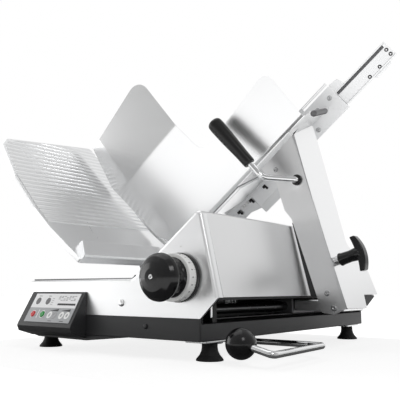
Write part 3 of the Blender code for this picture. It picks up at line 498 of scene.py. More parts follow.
def make_control_box():
    """Dark wedge with a printed face: two membrane keys, start and stop keys, two counters."""
    side = outline([(-0.0004, 0.0728), (-0.0028, 0.0716, 0.001), (-0.034, 0.0175, 0.002),
        (-0.036, 0.013, 0.003), (-0.0322, 0.0036, 0.003), (-0.0004, -0.006)], 5)
    box = slab("control_housing", side, -0.393, -0.247, axes(Y, Z, X), PAINT)
    settle(soften(box, 0.0016, 3), "base", "control_box")

    top, low = Vector((-0.3155, -0.003, 0.0715)), Vector((-0.3155, -0.034, 0.0175))
    up = (top - low).normalized()
    face = axes(X, up, X.cross(up), (top + low) / 2)
    sheet = slab("control_face", outline([(-0.061, -0.0285, 0.001), (0.061, -0.0285, 0.001),
        (0.061, 0.028, 0.001), (-0.061, 0.028, 0.001)], 3), 0.0001, 0.0009, face, FILM)
    upper = slab("t", [(-0.0605, -0.0005), (0.0605, -0.0005), (0.0605, 0.0276), (-0.0605, 0.0276)],
        0.0008, 0.0011, face, FILM_WHITE)
    settle(merged("control_face", [sheet, upper]), "base", "control_panel")

    def disc(x, y, r, low_z, high_z, mat, stretch=1.0, steps=32):
        ring = [(x + r * math.cos(2 * math.pi * k / steps),
            y + r * stretch * math.sin(2 * math.pi * k / steps)) for k in range(steps)]
        return slab("t", ring, low_z, high_z, face, mat)

    def bar(x0, y0, x1, y1, mat, z=0.0013):
        return slab("t", [(x0, y0), (x1, y0), (x1, y1), (x0, y1)], 0.0008, z, face, mat)

    prints = [disc(x, 0.0125, 0.006, 0.0008, 0.0013, INK_GREY, 1.15) for x in (-0.046, -0.019)]
    prints += [bar(x - 0.004, 0.0222, x + 0.004, 0.0232, INK_GREY) for x in (-0.046, -0.019)]
    prints += [bar(-0.0095, y, -0.0035, y + 0.0008, INK_PALE) for y in (0.0055, 0.0095, 0.0135, 0.0175)]
    for column in range(7):                     # a pale block pattern, no lettering
        x = 0.007 + column * 0.0068
        for row in range(4):
            if (column * 3 + row) % 4:
                prints.append(bar(x, 0.014 + row * 0.0026, x + 0.005, 0.0154 + row * 0.0026, INK_PALE))
    prints += [bar(-0.0318, -0.0215, -0.03, -0.0045, FILM_WHITE)]
    for x in (0.009, 0.04):                  # ramp marks over the counters
        prints.append(slab("t", [(x - 0.011, -0.0058), (x + 0.0115, -0.007), (x + 0.0115, -0.0025)],
            0.0008, 0.0012, face, INK))
        prints.append(bar(x - 0.0045, -0.0262, x + 0.0045, -0.025, INK_GREY))
    settle(merged("control_prints", prints), "base")
    prints = [bar(0.0105, 0.0048, 0.0575, 0.0084, INK)]         # a plain bar, no lettering
    settle(merged("control_bar", prints), "base", slot="panel_film")
    digits = [zero(face, x, -0.0145, mat) for x, mat in ((0.002, WHITE), (0.0142, INK_PALE),
        (0.0336, WHITE), (0.0482, WHITE))]
    settle(merged("counters", digits), "base", slot="panel_film")

    for name, x, mat in (("start_key", -0.018, GREEN), ("stop_key", -0.044, RED)):
        center = (top + low) / 2 + X * x + up * -0.0135
        out = X.cross(up)
        set_lathe(f"{name}_cap", [(0.0, 0.0027), (0.003, 0.0029), (0.005, 0.0027), (0.0058, 0.0015),
            (0.0058, -0.0014), (0.0, -0.0014)], (0.0006,), out, center, mat, 48,
            name.replace("key", "button"), name)
        set_lathe(f"{name}_collar", [(0.006, 0.0009), (0.0072, 0.0009), (0.0076, 0.0012),
            (0.007, 0.0016), (0.0061, 0.0014), (0.006, 0.0009)], (0.0002,), out, center, FILM_WHITE, 48,
            "base")


def zero(face, x, y, mat, steps=36):
    """One counter figure: a plain round nought, slightly slanted."""
    mesh = bpy.data.meshes.new("t")
    bm = bmesh.new()
    rings = []
    for half, tall, z in ((0.006, 0.0068, 0.0008), (0.006, 0.0068, 0.0012), (0.0023, 0.0034, 0.0012),
                          (0.0023, 0.0034, 0.0008)):
        angles = [2 * math.pi * k / steps for k in range(steps)]
        rings.append([bm.verts.new((x + half * math.cos(a) + tall * math.sin(a) * 0.1,
            y + tall * math.sin(a), z)) for a in angles])
    for i in range(4):
        one, two = rings[i], rings[(i + 1) % 4]
        for k in range(steps):
            bm.faces.new((one[k], one[(k + 1) % steps], two[(k + 1) % steps], two[k]))
    bmesh.ops.recalc_face_normals(bm, faces=bm.faces)
    bm.to_mesh(mesh)
    bm.free()
    return link_object("t", mesh, face, mat)


# ---------------------------------------------------------------- thickness knob and gauge plate
def make_knob():
    """Domed knob with a lobed neck, on a white dial with a black rim."""
    at = (KNOB_X, 0, KNOB_Z)

    def lobes(r, h, a):
        if 0.024 < h < 0.0435 and r > 0.018:
            depth = math.sin(math.pi * (h - 0.024) / 0.0195)
            return r * (1 + 0.055 * depth * math.cos(8 * a))
        return r

    knob = lathe("setting_knob", softened([(0.0, 0.0686), (0.012, 0.0677), (0.022, 0.0648),
        (0.0303, 0.0597), (0.035, 0.0537), (0.0361, 0.0485), (0.0352, 0.0442), (0.0315, 0.0405),
        (0.0285, 0.037), (0.0272, 0.032), (0.028, 0.027), (0.03, 0.0235), (0.03, 0.0222),
        (0.0, 0.0222)], 0.006, 6), -Y, at, BLACK, 160, shape=lobes)
    settle(knob, "thickness_control", "knob")
    set_lathe("setting_knob_screw", [(0.0, 0.0685), (0.0016, 0.0685), (0.0018, 0.0692), (0.003, 0.0692),
        (0.0038, 0.0686), (0.004, 0.0674), (0.0, 0.0674)], (0.0004,), -Y, at, CHROME, 48,
        "thickness_control")
    set_lathe("setting_dial", [(0.0305, 0.0216), (0.0352, 0.0216), (0.0362, 0.0208), (0.0366, 0.01),
        (0.0366, 0.0065), (0.0305, 0.0065), (0.0305, 0.0216)], (0.0008,), -Y, at, WHITE, 160,
        "thickness_control", "dial_ring")
    core = lathe("setting_dial_core", [(0.0, 0.022), (0.0304, 0.022), (0.0304, 0.0066), (0.0, 0.0066)],
        -Y, at, BLACK, 96)
    settle(core, "thickness_control")
    set_lathe("setting_rim", [(0.0, 0.0064), (0.0374, 0.0064), (0.0377, 0.0058), (0.0377, 0.0016),
        (0.037, 0.0006), (0.0, 0.0006)], (0.0006,), -Y, at, BLACK, 128, "thickness_control")

    marks = []
    for k in range(60):                         # ticks all round, long ones at the figures
        a = 2 * math.pi * k / 60
        out = X * math.cos(a) + Z * math.sin(a)
        long = 0.003 if k % 3 == 0 else 0.0018
        spot = axes(-Y, out.cross(-Y), out, Vector(at) + out * 0.0366)
        marks.append(block("t", (0.0068, -0.00022, -0.0004), (0.0068 + long, 0.00022, 0.0002), spot,
            INK))
    settle(merged("dial_ticks", marks), "thickness_control")
    figures = []
    for k in range(20):
        a = math.radians(72) - 2 * math.pi * k / 20
        out = X * math.cos(a) + Z * math.sin(a)
        text = bpy.data.curves.new("figure", "FONT")
        text.body, text.size, text.extrude = str(k), 0.0056, 0.0001
        text.align_x, text.align_y = "CENTER", "CENTER"
        around = out.cross(-Y)
        figures.append(link_object("t", text, axes(around, Y, around.cross(Y),
            Vector(at) - Y * 0.0152 + out * 0.0365), INK))
    settle(merged("dial_figures", figures), "thickness_control")


RIB_FROM, RIB_TO, RIB_PITCH, RIB_RISE = 0.362, 0.621, 0.0112, 0.0016


def rib_height(n):
    """Rounded ribs across the plate's upper part; 0 at the valleys, 1 on the crests."""
    if n < RIB_FROM or n > RIB_TO:
        return 0.0
    return math.sin(math.pi * ((n - RIB_FROM) / RIB_PITCH % 1.0)) ** 0.75


def make_stop_plate():
    """Ribbed thickness plate: a cast plate with rounded ribs, and a bar lip along its foot."""
    arc = []
    for k in range(25):
        n = 0.33 + k * (0.52 - 0.33) / 24
        arc.append((BLADE_Y - math.sqrt(0.1712 ** 2 - (n - BLADE_N) ** 2), n))
    left = [(-0.02, 0.59, 0.004), (-0.038, 0.569, 0.006), (-0.044, 0.482, 0.05), (-0.033, 0.4, 0.05),
        (-0.019, 0.349, 0.05), (0.015, 0.2752, 0.006)]
    rim = outline(left + [(0.262, 0.2752)] + arc + [(0.235, 0.56), (0.2185, 0.6235, 0.006)], 8)
    plate = slab("stop_plate", rim, GAUGE_FACE - 0.0112, GAUGE_FACE - RIB_RISE, SLOPE_FRAME, CAST)
    settle(soften(plate, 0.0012, 3), "gauge", "gauge_plate")

    inner = [(-0.016, 0.585, 0.004), (-0.0334, 0.566, 0.006), (-0.0394, 0.482, 0.05),
        (-0.0284, 0.4, 0.05), (-0.019, RIB_FROM)]
    inner += [(y - 0.0008, n) for y, n in arc if n > RIB_FROM] + [(0.2342, 0.559),
        (0.2178, 0.62, 0.006)]
    mesh = bpy.data.meshes.new("stop_plate_ribs")
    bm = bmesh.new()
    bm.faces.new([bm.verts.new((y, n, 0)) for y, n in outline(inner, 8)])
    step = RIB_PITCH / 8
    for k in range(int((RIB_TO + 0.0006 - RIB_FROM) / step) + 1):
        bmesh.ops.bisect_plane(bm, geom=bm.verts[:] + bm.edges[:] + bm.faces[:],
            plane_co=(0, RIB_FROM + k * step, 0), plane_no=(0, 1, 0), dist=1e-7)
    grown = bmesh.ops.extrude_face_region(bm, geom=bm.faces[:])
    tops = {g for g in grown["geom"] if isinstance(g, bmesh.types.BMVert)}
    for vert in bm.verts:
        vert.co.z = GAUGE_FACE - RIB_RISE + (RIB_RISE * rib_height(vert.co.y) if vert in tops else
            -0.0006)
    bmesh.ops.recalc_face_normals(bm, faces=bm.faces)
    bm.to_mesh(mesh)
    bm.free()
    ribs = smooth(link_object("stop_plate_ribs", mesh, SLOPE_FRAME, CAST), 50)
    settle(ribs, "gauge")

    lip = slab("stop_plate_lip", outline([(0.2754, GAUGE_FACE - 0.0108), (0.2754, -0.1312, 0.004),
        (0.315, -0.1312, 0.004), (0.315, GAUGE_FACE - 0.002)], 6), 0.006, 0.243, axes(N, T, N.cross(T)),
        CAST)
    run = Vector((0.014, 0.039, 0)).normalized()
    start, away = Vector((0.0145, 0.2754, 0)), Vector((-run.y, run.x, 0)) * 0.1
    ends = [start - run * 0.1, start + run * 0.1]
    boolean(lip, slab("t", [tuple(q[:2]) for q in ends + [ends[1] + away, ends[0] + away]], -0.2, -0.1,
        SLOPE_FRAME, None))
    settle(soften(lip, 0.002, 4), "gauge")


# ---------------------------------------------------------------- product table
def sheet_point(t, s, lift):
    """Place a point of the unrolled sheet: s runs over the floor, the wall and the bent-back strip."""
    fold, corner, bend, lean = FOLD, 0.008, 0.03, math.radians(17.2)
    half = bend * math.tan(lean / 2)
    if s < -corner:
        f, w, nf, nw = WALL_F - s, FLOOR_W, 0.0, 1.0
    elif s < corner:
        a = math.pi * 1.5 - math.pi / 2 * (s + corner) / (2 * corner)
        nf, nw = -math.cos(a), -math.sin(a)
        f, w = WALL_F + corner * (1 - nf), FLOOR_W + corner * (1 - nw)
    elif s < fold - half:
        f, w, nf, nw = WALL_F, FLOOR_W + s, 1.0, 0.0
    elif s < fold + half:
        a = math.pi - lean * (s - fold + half) / (2 * half)
        nf, nw = -math.cos(a), -math.sin(a)
        f, w = WALL_F + bend * (1 - nf), FLOOR_W + fold - half - bend * nw
    else:
        nf, nw = math.cos(lean), -math.sin(lean)
        f, w = WALL_F + (s - fold) * math.sin(lean), FLOOR_W + fold + (s - fold) * math.cos(lean)
    past = max(0.0, -0.086 - t) * min(1.0, max(0.0, s / 0.06))
    lift = lift + 0.13 * (math.sqrt(past * past + 0.003 ** 2) - 0.003)
    return on_table(t, w + nw * lift, f + nf * lift)


def make_table():
    """The folded stainless product table, one sheet with bent corners and rounded ends."""
    fold = FOLD
    flat = outline([(-0.118, -0.243, 0.006), (-0.118, 0.036, 0.02), (-0.13, 0.053, 0.02),
        (-0.13, fold, 0.02), (-0.1345, fold + 0.025, 0.02), (-0.1135, fold + 0.151, 0.009),
        (-0.088, fold + 0.131, 0.008), (0.0485, fold + 0.147), (0.0795, fold + 0.147, 0.031),
        (0.08, fold), (0.0812, 0.099, 0.022), (0.286, 0.114, 0.018), (0.274, 0.0, 0.004),
        (0.285, -0.02, 0.006), (0.285, -0.243, 0.006)], 10)
    mesh = bpy.data.meshes.new("product_table")
    bm = bmesh.new()
    bm.faces.new([bm.verts.new((t, s, 0)) for t, s in flat])
    half = 0.03 * math.tan(math.radians(8.6))
    cuts = [(s, Y) for s in [-0.008 + 0.002 * k for k in range(9)]]
    cuts += [(fold - half + half * k / 4, Y) for k in range(9)]
    cuts += [(-0.086 - d, X) for d in (0, 0.0015, 0.003, 0.005, 0.0075, 0.011, 0.016)]
    cuts += [(0.02 + 0.04 * k, Y) for k in range(4)]
    for at, way in cuts:
        bmesh.ops.bisect_plane(bm, geom=bm.verts[:] + bm.edges[:] + bm.faces[:], plane_co=way * at,
            plane_no=way, dist=1e-7)
    grown = bmesh.ops.extrude_face_region(bm, geom=bm.faces[:])
    tops = {v for v in grown["geom"] if isinstance(v, bmesh.types.BMVert)}
    for vert in bm.verts:
        vert.co = sheet_point(vert.co.x, vert.co.y, SHEET if vert in tops else 0.0)
    bmesh.ops.recalc_face_normals(bm, faces=bm.faces)
    bm.to_mesh(mesh)
    bm.free()
    table = link_object("product_table", mesh, MACHINE, STAINLESS)
    settle(soften(table, 0.00045, 2, 45), "carriage", "table_sheet")


def make_table_support():
    """Bracket under the floor, the plate behind it, its clips, and the channel for the rail."""
    settle(soften(block("floor_bracket", (-0.02, 0.375, 0.1562), (0.08, 0.6095, 0.1617), FLOOR_FRAME,
        ALUMINIUM), 0.001, 2), "carriage", "table_bracket")
    web = outline([(0.003, 0.098, 0.003), (0.175, 0.098, 0.004), (0.185, 0.132, 0.004),
        (0.317, 0.132, 0.002), (0.317, 0.1985, 0.002), (0.24, 0.1985), (0.24, 0.209),
        (0.003, 0.209, 0.003)], 6)
    plate = slab("table_support", web, -RAIL_F - 0.003, -RAIL_F, WALL_FRAME, ALUMINIUM)
    for t in (0.006, 0.2155):
        boolean(plate, block("t", (t, 0.5875, 0.1665), (t + 0.006, RAIL_F + 0.001, 0.2335),
            FLOOR_FRAME), "UNION")
    for low, high in ((0.203, 0.2048), (0.2066, 0.2088)):
        boolean(plate, block("t", (0.2, RAIL_F - 0.003, low), (0.3165, RAIL_F + 0.0025, high),
            FLOOR_FRAME), "UNION")
    settle(soften(plate, 0.0007, 2), "carriage", "support_plate")
    set_slab("support_strip", [(0.004, 0.118, 0.002), (0.174, 0.118, 0.002), (0.182, 0.14, 0.002),
        (0.182, 0.152, 0.002), (0.004, 0.152, 0.002)], 4, -RAIL_F, -RAIL_F + 0.003, WALL_FRAME, CAST,
        (0.0009, 2), "carriage")
    set_slab("support_wing", [(-0.078, 0.123, 0.003), (-0.025, 0.123, 0.004), (-0.003, 0.115, 0.004),
        (0.0028, 0.113), (0.0028, 0.2085), (-0.078, 0.175, 0.004)], 5, -RAIL_F - 0.0029, -RAIL_F,
        WALL_FRAME, ALUMINIUM, (0.0007, 2), "carriage")
    blocks = [soften(block("t", (t, 0.142, -RAIL_F + 0.0002), (t + size, 0.15, -RAIL_F + 0.0045),
        WALL_FRAME, WHITE), 0.0008, 2) for t, size in ((-0.033, 0.0105), (-0.0185, 0.0065))]
    settle(merged("support_pads", blocks), "carriage")
    clips = []
    for t in (-0.05, -0.0075, 0.042):
        clips.append(soften(block("t", (t, 0.141, -RAIL_F + 0.0032),
            (t + 0.009, 0.148, -RAIL_F + 0.0065), WALL_FRAME, BLACK), 0.0008, 2))
        clips.append(soften(block("t", (t + 0.0045, 0.135, -RAIL_F + 0.0032),
            (t + 0.0095, 0.141, -RAIL_F + 0.0058), WALL_FRAME, BLACK), 0.0008, 2))
    settle(merged("support_clips", clips), "carriage")
    heads = [screw_head(on_table(t, w, RAIL_F), -F, 0.0042) for t, w in ((0.2, 0.146), (0.232, 0.146),
        (0.262, 0.178), (0.3, 0.178))]
    settle(merged("support_screws", heads), "carriage")

    profile = outline([(RAIL_F + 0.003, 0.138, 0.001), (RAIL_F + 0.003, 0.177, 0.001),
        (RAIL_F - 0.012, 0.177, 0.001), (RAIL_F - 0.012, 0.1738, 0.001), (RAIL_F, 0.1738, 0.0015),
        (RAIL_F, 0.1412, 0.0015), (RAIL_F - 0.012, 0.1412, 0.001), (RAIL_F - 0.012, 0.138, 0.001)], 4)
    channel = slab("rail_bar", profile, 0.3178, 0.4628, RAIL_FRAME, ALUMINIUM)
    settle(soften(channel, 0.0003, 2, 50), "carriage", "rail_channel")
    rings = []
    for t, w in ((0.455, 0.161), (0.455, 0.1485), (0.421, 0.146), (0.392, 0.146)):
        at = on_table(t, w, RAIL_F)
        rings.append(lathe("t", [(0.0022, 0.0004), (0.0024, 0.001), (0.0042, 0.001), (0.0044, 0.0),
            (0.0022, 0.0), (0.0022, 0.0004)], -F, at, INK, 40))
        rings.append(lathe("t", [(0.0, 0.0008), (0.0018, 0.0006), (0.0022, 0.0), (0.0, 0.0)], -F, at,
            CHROME, 40))
    settle(merged("rail_screws", rings), "carriage", slot="brushed_steel")
    # Painted shade: a dark strip under the channel's lip stands for the shade in its groove.
    settle(soften(block("rail_groove_shade", (0.319, 0.1682, -RAIL_F + 0.0001),
        (0.4555, 0.1737, -RAIL_F + 0.0012), WALL_FRAME, IRON), 0.0005, 2), "carriage")
    set_slab("rail_stop", [(0.318, 0.1775), (0.345, 0.1775, 0.002), (0.341, 0.196, 0.003),
        (0.318, 0.2, 0.003)], 4, -RAIL_F - 0.0028, -RAIL_F - 0.0002, WALL_FRAME, ALUMINIUM, (0.0006, 2),
        "carriage")
    set_slab("rail_ear", [(0.398, 0.1379), (0.402, 0.132, 0.003), (0.44, 0.132, 0.003),
        (0.444, 0.1379)], 4, -RAIL_F - 0.0028, -RAIL_F - 0.0002, WALL_FRAME, ALUMINIUM, (0.0006, 2),
        "carriage")
    settle(soften(block("rail_strap", (0.2705, RAIL_F + 0.0034, 0.1425),
        (0.3695, RAIL_F + 0.0061, 0.1725), FLOOR_FRAME, STEEL), 0.0008, 2), "carriage", "rail_joiner")
    latch = rod("latch_bar", on_table(0.29, 0.1535, 0.3722), on_table(0.29, 0.1535, 0.4958), 0.006,
        IRON, 40, 0.0026)
    groove = slab("t", outline([(0.2885, 0.385, 0.001), (0.2915, 0.385, 0.001), (0.2915, 0.485, 0.001),
        (0.2885, 0.485, 0.001)], 4), 0.1465, 0.1492, FLOOR_FRAME)
    boolean(latch, groove)
    settle(smooth(latch, 40), "carriage", "latch_rod", slot="black_plastic")


def screw_head(at, out, radius, mat=None, hexagon=True):
    """A socket or hex head sitting on a face, with a washer under it."""
    at, out = Vector(at), Vector(out)
    washer = lathe("t", softened([(0.0, 0.0007), (radius * 1.35, 0.0007), (radius * 1.4, 0.0),
        (0.0, 0.0)], 0.0003), out, at, mat or STEEL, 32)
    shape = (lambda r, h, a: r / max(abs(math.cos((a + math.pi / 6) % (math.pi / 3) - math.pi / 6)),
        0.5) * 0.92) if hexagon else None
    head = lathe("t", softened([(0.0, 0.0012), (radius * 0.45, 0.0012), (radius * 0.5, 0.0028),
        (radius * 0.9, 0.0028), (radius, 0.0022), (radius, 0.0006), (0.0, 0.0006)], 0.0004), out, at,
        mat or STEEL, 48, shape)
    return merged("t", [washer, head])


# ---------------------------------------------------------------- carriage arm and slide
def make_arm():
    """Folded arm with a rounded ridge, its ledge, a painted shadow strip, foot and screws, and the
    slide below it.
    """
    up = (RIDGE_TOP - RIDGE_LOW).normalized()
    side = axes(Y, up, Y.cross(up), RIDGE_LOW)
    high = (RIDGE_TOP - RIDGE_LOW).length - 0.0006
    top, low = RIDGE_LOW + up * high, RIDGE_LOW + up * 0.0004
    front = outline([(top.x, top.z), (-0.063, 0.31, 0.004), (-0.03, 0.28, 0.02), (-0.012, 0.225, 0.006),
        (0.002, 0.208, 0.006), (0.052, 0.058, 0.02), (0.059, 0.0352, 0.005), (0.084, 0.0332, 0.003),
        (low.x, low.z)], 6)
    arm = slab("carriage_arm_sheet", front, -(ARM_FRONT + 0.003), -ARM_FRONT, SIDE_FRAME, ARM)
    flank = outline([(0.0, 0.0004), (0.093, -0.0006, 0.002), (0.099, 0.025, 0.002),
        (0.1665, 0.025, 0.003), (0.155, 0.0771, 0.015), (0.093, 0.1251, 0.015), (0.111, 0.3513, 0.01),
        (0.1115, 0.3883, 0.004), (0.0, high)], 6)
    boolean(arm, slab("t", flank, -0.003, 0.0, side), "UNION")
    round_edges(arm, 0.0026, lambda a,
        b: all(abs((p - RIDGE_LOW).cross(up).length) < 1e-4 for p in (a, b)), 6)
    settle(soften(arm, 0.00035, 2, 50), "carriage", "carriage_arm")
    # The ledge is the flank's real return; its near-black is painted shade of its shadowed underside.
    set_slab("arm_ledge", [(0.0995, 0.0246), (0.164, 0.0246, 0.002), (0.108, 0.0045, 0.003),
        (0.099, 0.0045)], 4, -0.0052, -0.0032, side, SHADE_BLACK, (0.0005, 2), "carriage")
    # Painted shadow: a dark strip beside the arm's left edge, for the arm's shadow on the side panel.
    set_slab("arm_shadow_strip", [(0.001, 0.201), (0.005, 0.201), (0.053, 0.064), (0.036, 0.064, 0.002)], 4,
        -(ARM_FRONT + 0.0062), -(ARM_FRONT + 0.0034), SIDE_FRAME, PAINT, (0.0005, 2), "carriage")
    settle(soften(block("arm_foot", (0.002, 0.2832, 0.038), (0.1, 0.37, 0.058), MACHINE, CAST), 0.002,
        3), "carriage")
    heads = [screw_head((0.07, ARM_FRONT, 0.07), -Y, 0.0038, hexagon=False),
        screw_head((0.083, ARM_FRONT, 0.0445), -Y, 0.0042), screw_head((-0.03, ARM_FRONT, 0.306), -Y,
        0.0038, hexagon=False)]
    settle(merged("arm_screws", heads), "carriage")
    set_lathe("sleeve", [(0.0052, 0.012), (0.0078, 0.012), (0.0085, 0.0112), (0.0085, 0.0004),
        (0.0052, 0.0004), (0.0052, 0.012)], (0.0005,), side.to_3x3() @ Z, side_point(up, 0.01, 0.086),
        CHROME, 64, "carriage", "knob_sleeve")

    settle(soften(block("slide_casting", (-0.045, 0.283, 0.032), (-0.0005, 0.372, 0.06), MACHINE, IRON),
        0.003, 4), "carriage", "slide_block")
    for name, y in (("front", 0.285), ("back", 0.35)):
        set_lathe(f"slide_bush_{name}", [(0.0083, 0.02), (0.0112, 0.02), (0.0112, 0.0), (0.0083, 0.0),
            (0.0083, 0.02)], (0.0006,), Y, (-0.02, y, 0.046), BRONZE, 48, "carriage",
            f"guide_bush_{name}")
    set_lathe("roller", [(0.0028, 0.0045), (0.0056, 0.0045), (0.007, 0.0036), (0.007, -0.0036),
        (0.0056, -0.0045), (0.0028, -0.0045), (0.0028, 0.0045)], (0.0008,), X,
        (-0.0555, 0.3275, 0.0376), WHITE, 48, "roller", "support_roller")
    # The guide shaft and bar are bright metal; their near-black colour is painted shade of the recess.
    shaft = rod("slide_shaft", (-0.02, 0.0515, 0.046), (-0.02, 0.5895, 0.046), 0.008, SHADED_METAL, 48, 0.001)
    settle(shaft, "base", "guide_shaft")
    settle(soften(block("slide_bar", (-0.064, 0.055, 0.0264), (-0.05, 0.586, 0.03), MACHINE, SHADED_METAL),
        0.0008, 2), "base", "guide_bar")


def side_point(up, y, h):
    return RIDGE_LOW + Y * y + up * h


def make_handle():
    """Push handle: bush, bent bright rod and a smooth black grip; T knob on the flank."""
    seat = Vector((0.0156, 0.28, 0.281))
    along = Vector((-0.486, -0.874, 0.0)).normalized()
    bend = seat + along * 0.0759
    lift = Vector((-0.602, -0.208, 0.771)).normalized()
    set_lathe("handle_seat", [(0.0061, 0.0045), (0.0084, 0.0043), (0.0104, 0.003), (0.0104, 0.0002),
        (0.0084, 0.0002), (0.0084, -0.0078), (0.0061, -0.0078), (0.0061, 0.0045)], (0.001,), -Y, seat,
        BLACK, 64, "carriage", "handle_bush")
    rod_line = tube("handle_bar", bent_path([seat + Y * 0.008, seat - Y * 0.009,
        seat - Y * 0.009 + (bend - seat + Y * 0.009) * 0.5, bend, bend + lift * 0.141], 0.018, 12),
        0.006, CHROME)
    settle(rod_line, "carriage", "handle_rod")
    start = 0.034
    set_lathe("handle_cover", [(0.0, start + 0.1128), (0.0095, start + 0.1126), (0.013, start + 0.11),
        (0.0144, start + 0.106), (0.0148, start + 0.098), (0.0142, start + 0.07),
        (0.0126, start + 0.042), (0.0117, start + 0.024), (0.0113, start + 0.004),
        (0.0106, start + 0.0006), (0.009, start), (0.0062, start), (0.0062, start + 0.1085),
        (0.0, start + 0.1085)], (0.012, 6), lift, bend, GRIP, 80, "grip", "handle_grip")

    up = (RIDGE_TOP - RIDGE_LOW).normalized()
    out = Y.cross(up)
    center = side_point(up, 0.01, 0.086)
    knob = lathe("clamp_hub", softened([(0.0, 0.056), (0.01, 0.054), (0.0118, 0.045), (0.0104, 0.033),
        (0.011, 0.018), (0.0125, 0.0123), (0.0045, 0.0123), (0.0045, -0.015), (0.0, -0.015)], 0.006, 6),
        out, center, BLACK, 64)
    bar = []
    for k in range(25):
        u = -0.0315 + 0.063 * k / 24
        bar.append((u, 0.0618 - 8.5 * u * u))
    bar += [(u, v - 0.0095 - 0.005 * (1 - (u / 0.0315) ** 2)) for u, v in bar[::-1]]
    cross = slab("t", bar, -0.0085, 0.0085, axes(-up, out, (-up).cross(out), center), BLACK)
    soften(cross, 0.0038, 5, 40)
    settle(merged("clamp_handle", [knob, cross]), "carriage_clamp", "clamp_knob")


# ---------------------------------------------------------------- pusher
def make_pusher():
    """End-piece holder on its rod: slider, swing arm, toothed plate."""
    rail = rod("pusher_bar", on_table(0.0072, PUSHER_W, PUSHER_F), on_table(0.2203, PUSHER_W, PUSHER_F),
        0.0059, CHROME, 48, 0.0015)
    settle(rail, "carriage", "pusher_rail")
    set_lathe("pusher_sleeve", [(0.0063, 0.17), (0.0105, 0.17), (0.0105, 0.13), (0.0063, 0.13),
        (0.0063, 0.17)], (0.0012,), T, on_table(0, PUSHER_W, PUSHER_F), BLACK, 64, "pusher_slide_body",
        "pusher_slider")
    arm = slab("pusher_lever", outline([(0.38, 0.19, 0.004), (0.56, 0.19, 0.012), (0.59, 0.2095, 0.006),
        (0.606, 0.216, 0.008), (0.609, 0.23, 0.008), (0.596, 0.238, 0.008), (0.5835, 0.23, 0.006),
        (0.545, 0.205, 0.012), (0.38, 0.205, 0.004)], 8), 0.1452, 0.1548, RAIL_FRAME, CAST)
    boolean(arm, lathe("t", [(0.0, 0.2), (0.0108, 0.2), (0.0108, 0.1), (0.0, 0.1)], T,
        on_table(0, PUSHER_W, PUSHER_F), None, 64))
    settle(soften(arm, 0.0018, 3, 40), "pusher", "pusher_arm")
    teeth = [(0.4, 0.185)]
    for k in range(16):
        f = 0.4 + 0.01 * k
        teeth += [(f + 0.0004, 0.17), (f + 0.003, 0.1682), (f + 0.008, 0.1682), (f + 0.0098, 0.1712)]
    teeth += [(0.56, 0.185), (0.545, 0.1895), (0.415, 0.1895)]
    plate = slab("pusher_teeth", teeth, 0.1402, 0.1438, RAIL_FRAME, BLACK)
    settle(soften(plate, 0.0006, 2), "pusher", "pusher_plate")


# ---------------------------------------------------------------- lift lever
def make_lever():
    """Cranked lift lever with a glossy ball, on two hangers, and its cam."""
    ball, bend = Vector((0.065, 0.01, 0.001)), Vector((0.124, -0.002, -0.01))
    hairpin = Vector((0.116, LEVER_Y - 0.004, LEVER_Z))
    bar = tube("lift_bar", [ball + (bend - ball) * 0.3, bend, hairpin, (0.09, LEVER_Y, LEVER_Z),
        (-0.095, LEVER_Y, LEVER_Z)], 0.005, CHROME, 0.0062, 12)
    settle(bar, "lever", "lever_rod")
    reach = (bend - ball).normalized()
    sphere = [(0.0224 * math.sin(math.pi * k / 48),
        0.0224 * math.cos(math.pi * k / 48)) for k in range(44)]
    neck = [(0.0062, -0.0216), (0.006, -0.0226), (0.0053, -0.0226), (0.0053, -0.0178), (0.0, -0.0178)]
    knob = lathe("lift_ball", sphere + neck, -reach, ball, BLACK, 96)
    settle(knob, "lever", "lever_ball")
    for name, x in (("outer", -0.03), ("inner", -0.09)):
        set_slab(f"lift_hanger_{name}", [(LEVER_Y - 0.0118, -0.0005, 0.001),
            (LEVER_Y - 0.0118, -0.0184, 0.007), (LEVER_Y + 0.0118, -0.0184, 0.007),
            (LEVER_Y + 0.0118, -0.0005, 0.001)], 6, x + 0.0002, x + 0.0058, axes(Y, Z, X), STEEL,
            (0.0006, 2), "base", f"lever_bracket_{name}")
    set_slab("lift_cam", [(LEVER_Y - 0.0075, LEVER_Z - 0.008, 0.004),
        (LEVER_Y + 0.019, LEVER_Z - 0.008, 0.003), (LEVER_Y + 0.019, LEVER_Z + 0.0064, 0.003),
        (LEVER_Y - 0.0075, LEVER_Z + 0.0064, 0.004)], 6, -0.0658, -0.0462, axes(Y, Z, X), IRON,
        (0.0012, 2), "lever", "lever_cam")


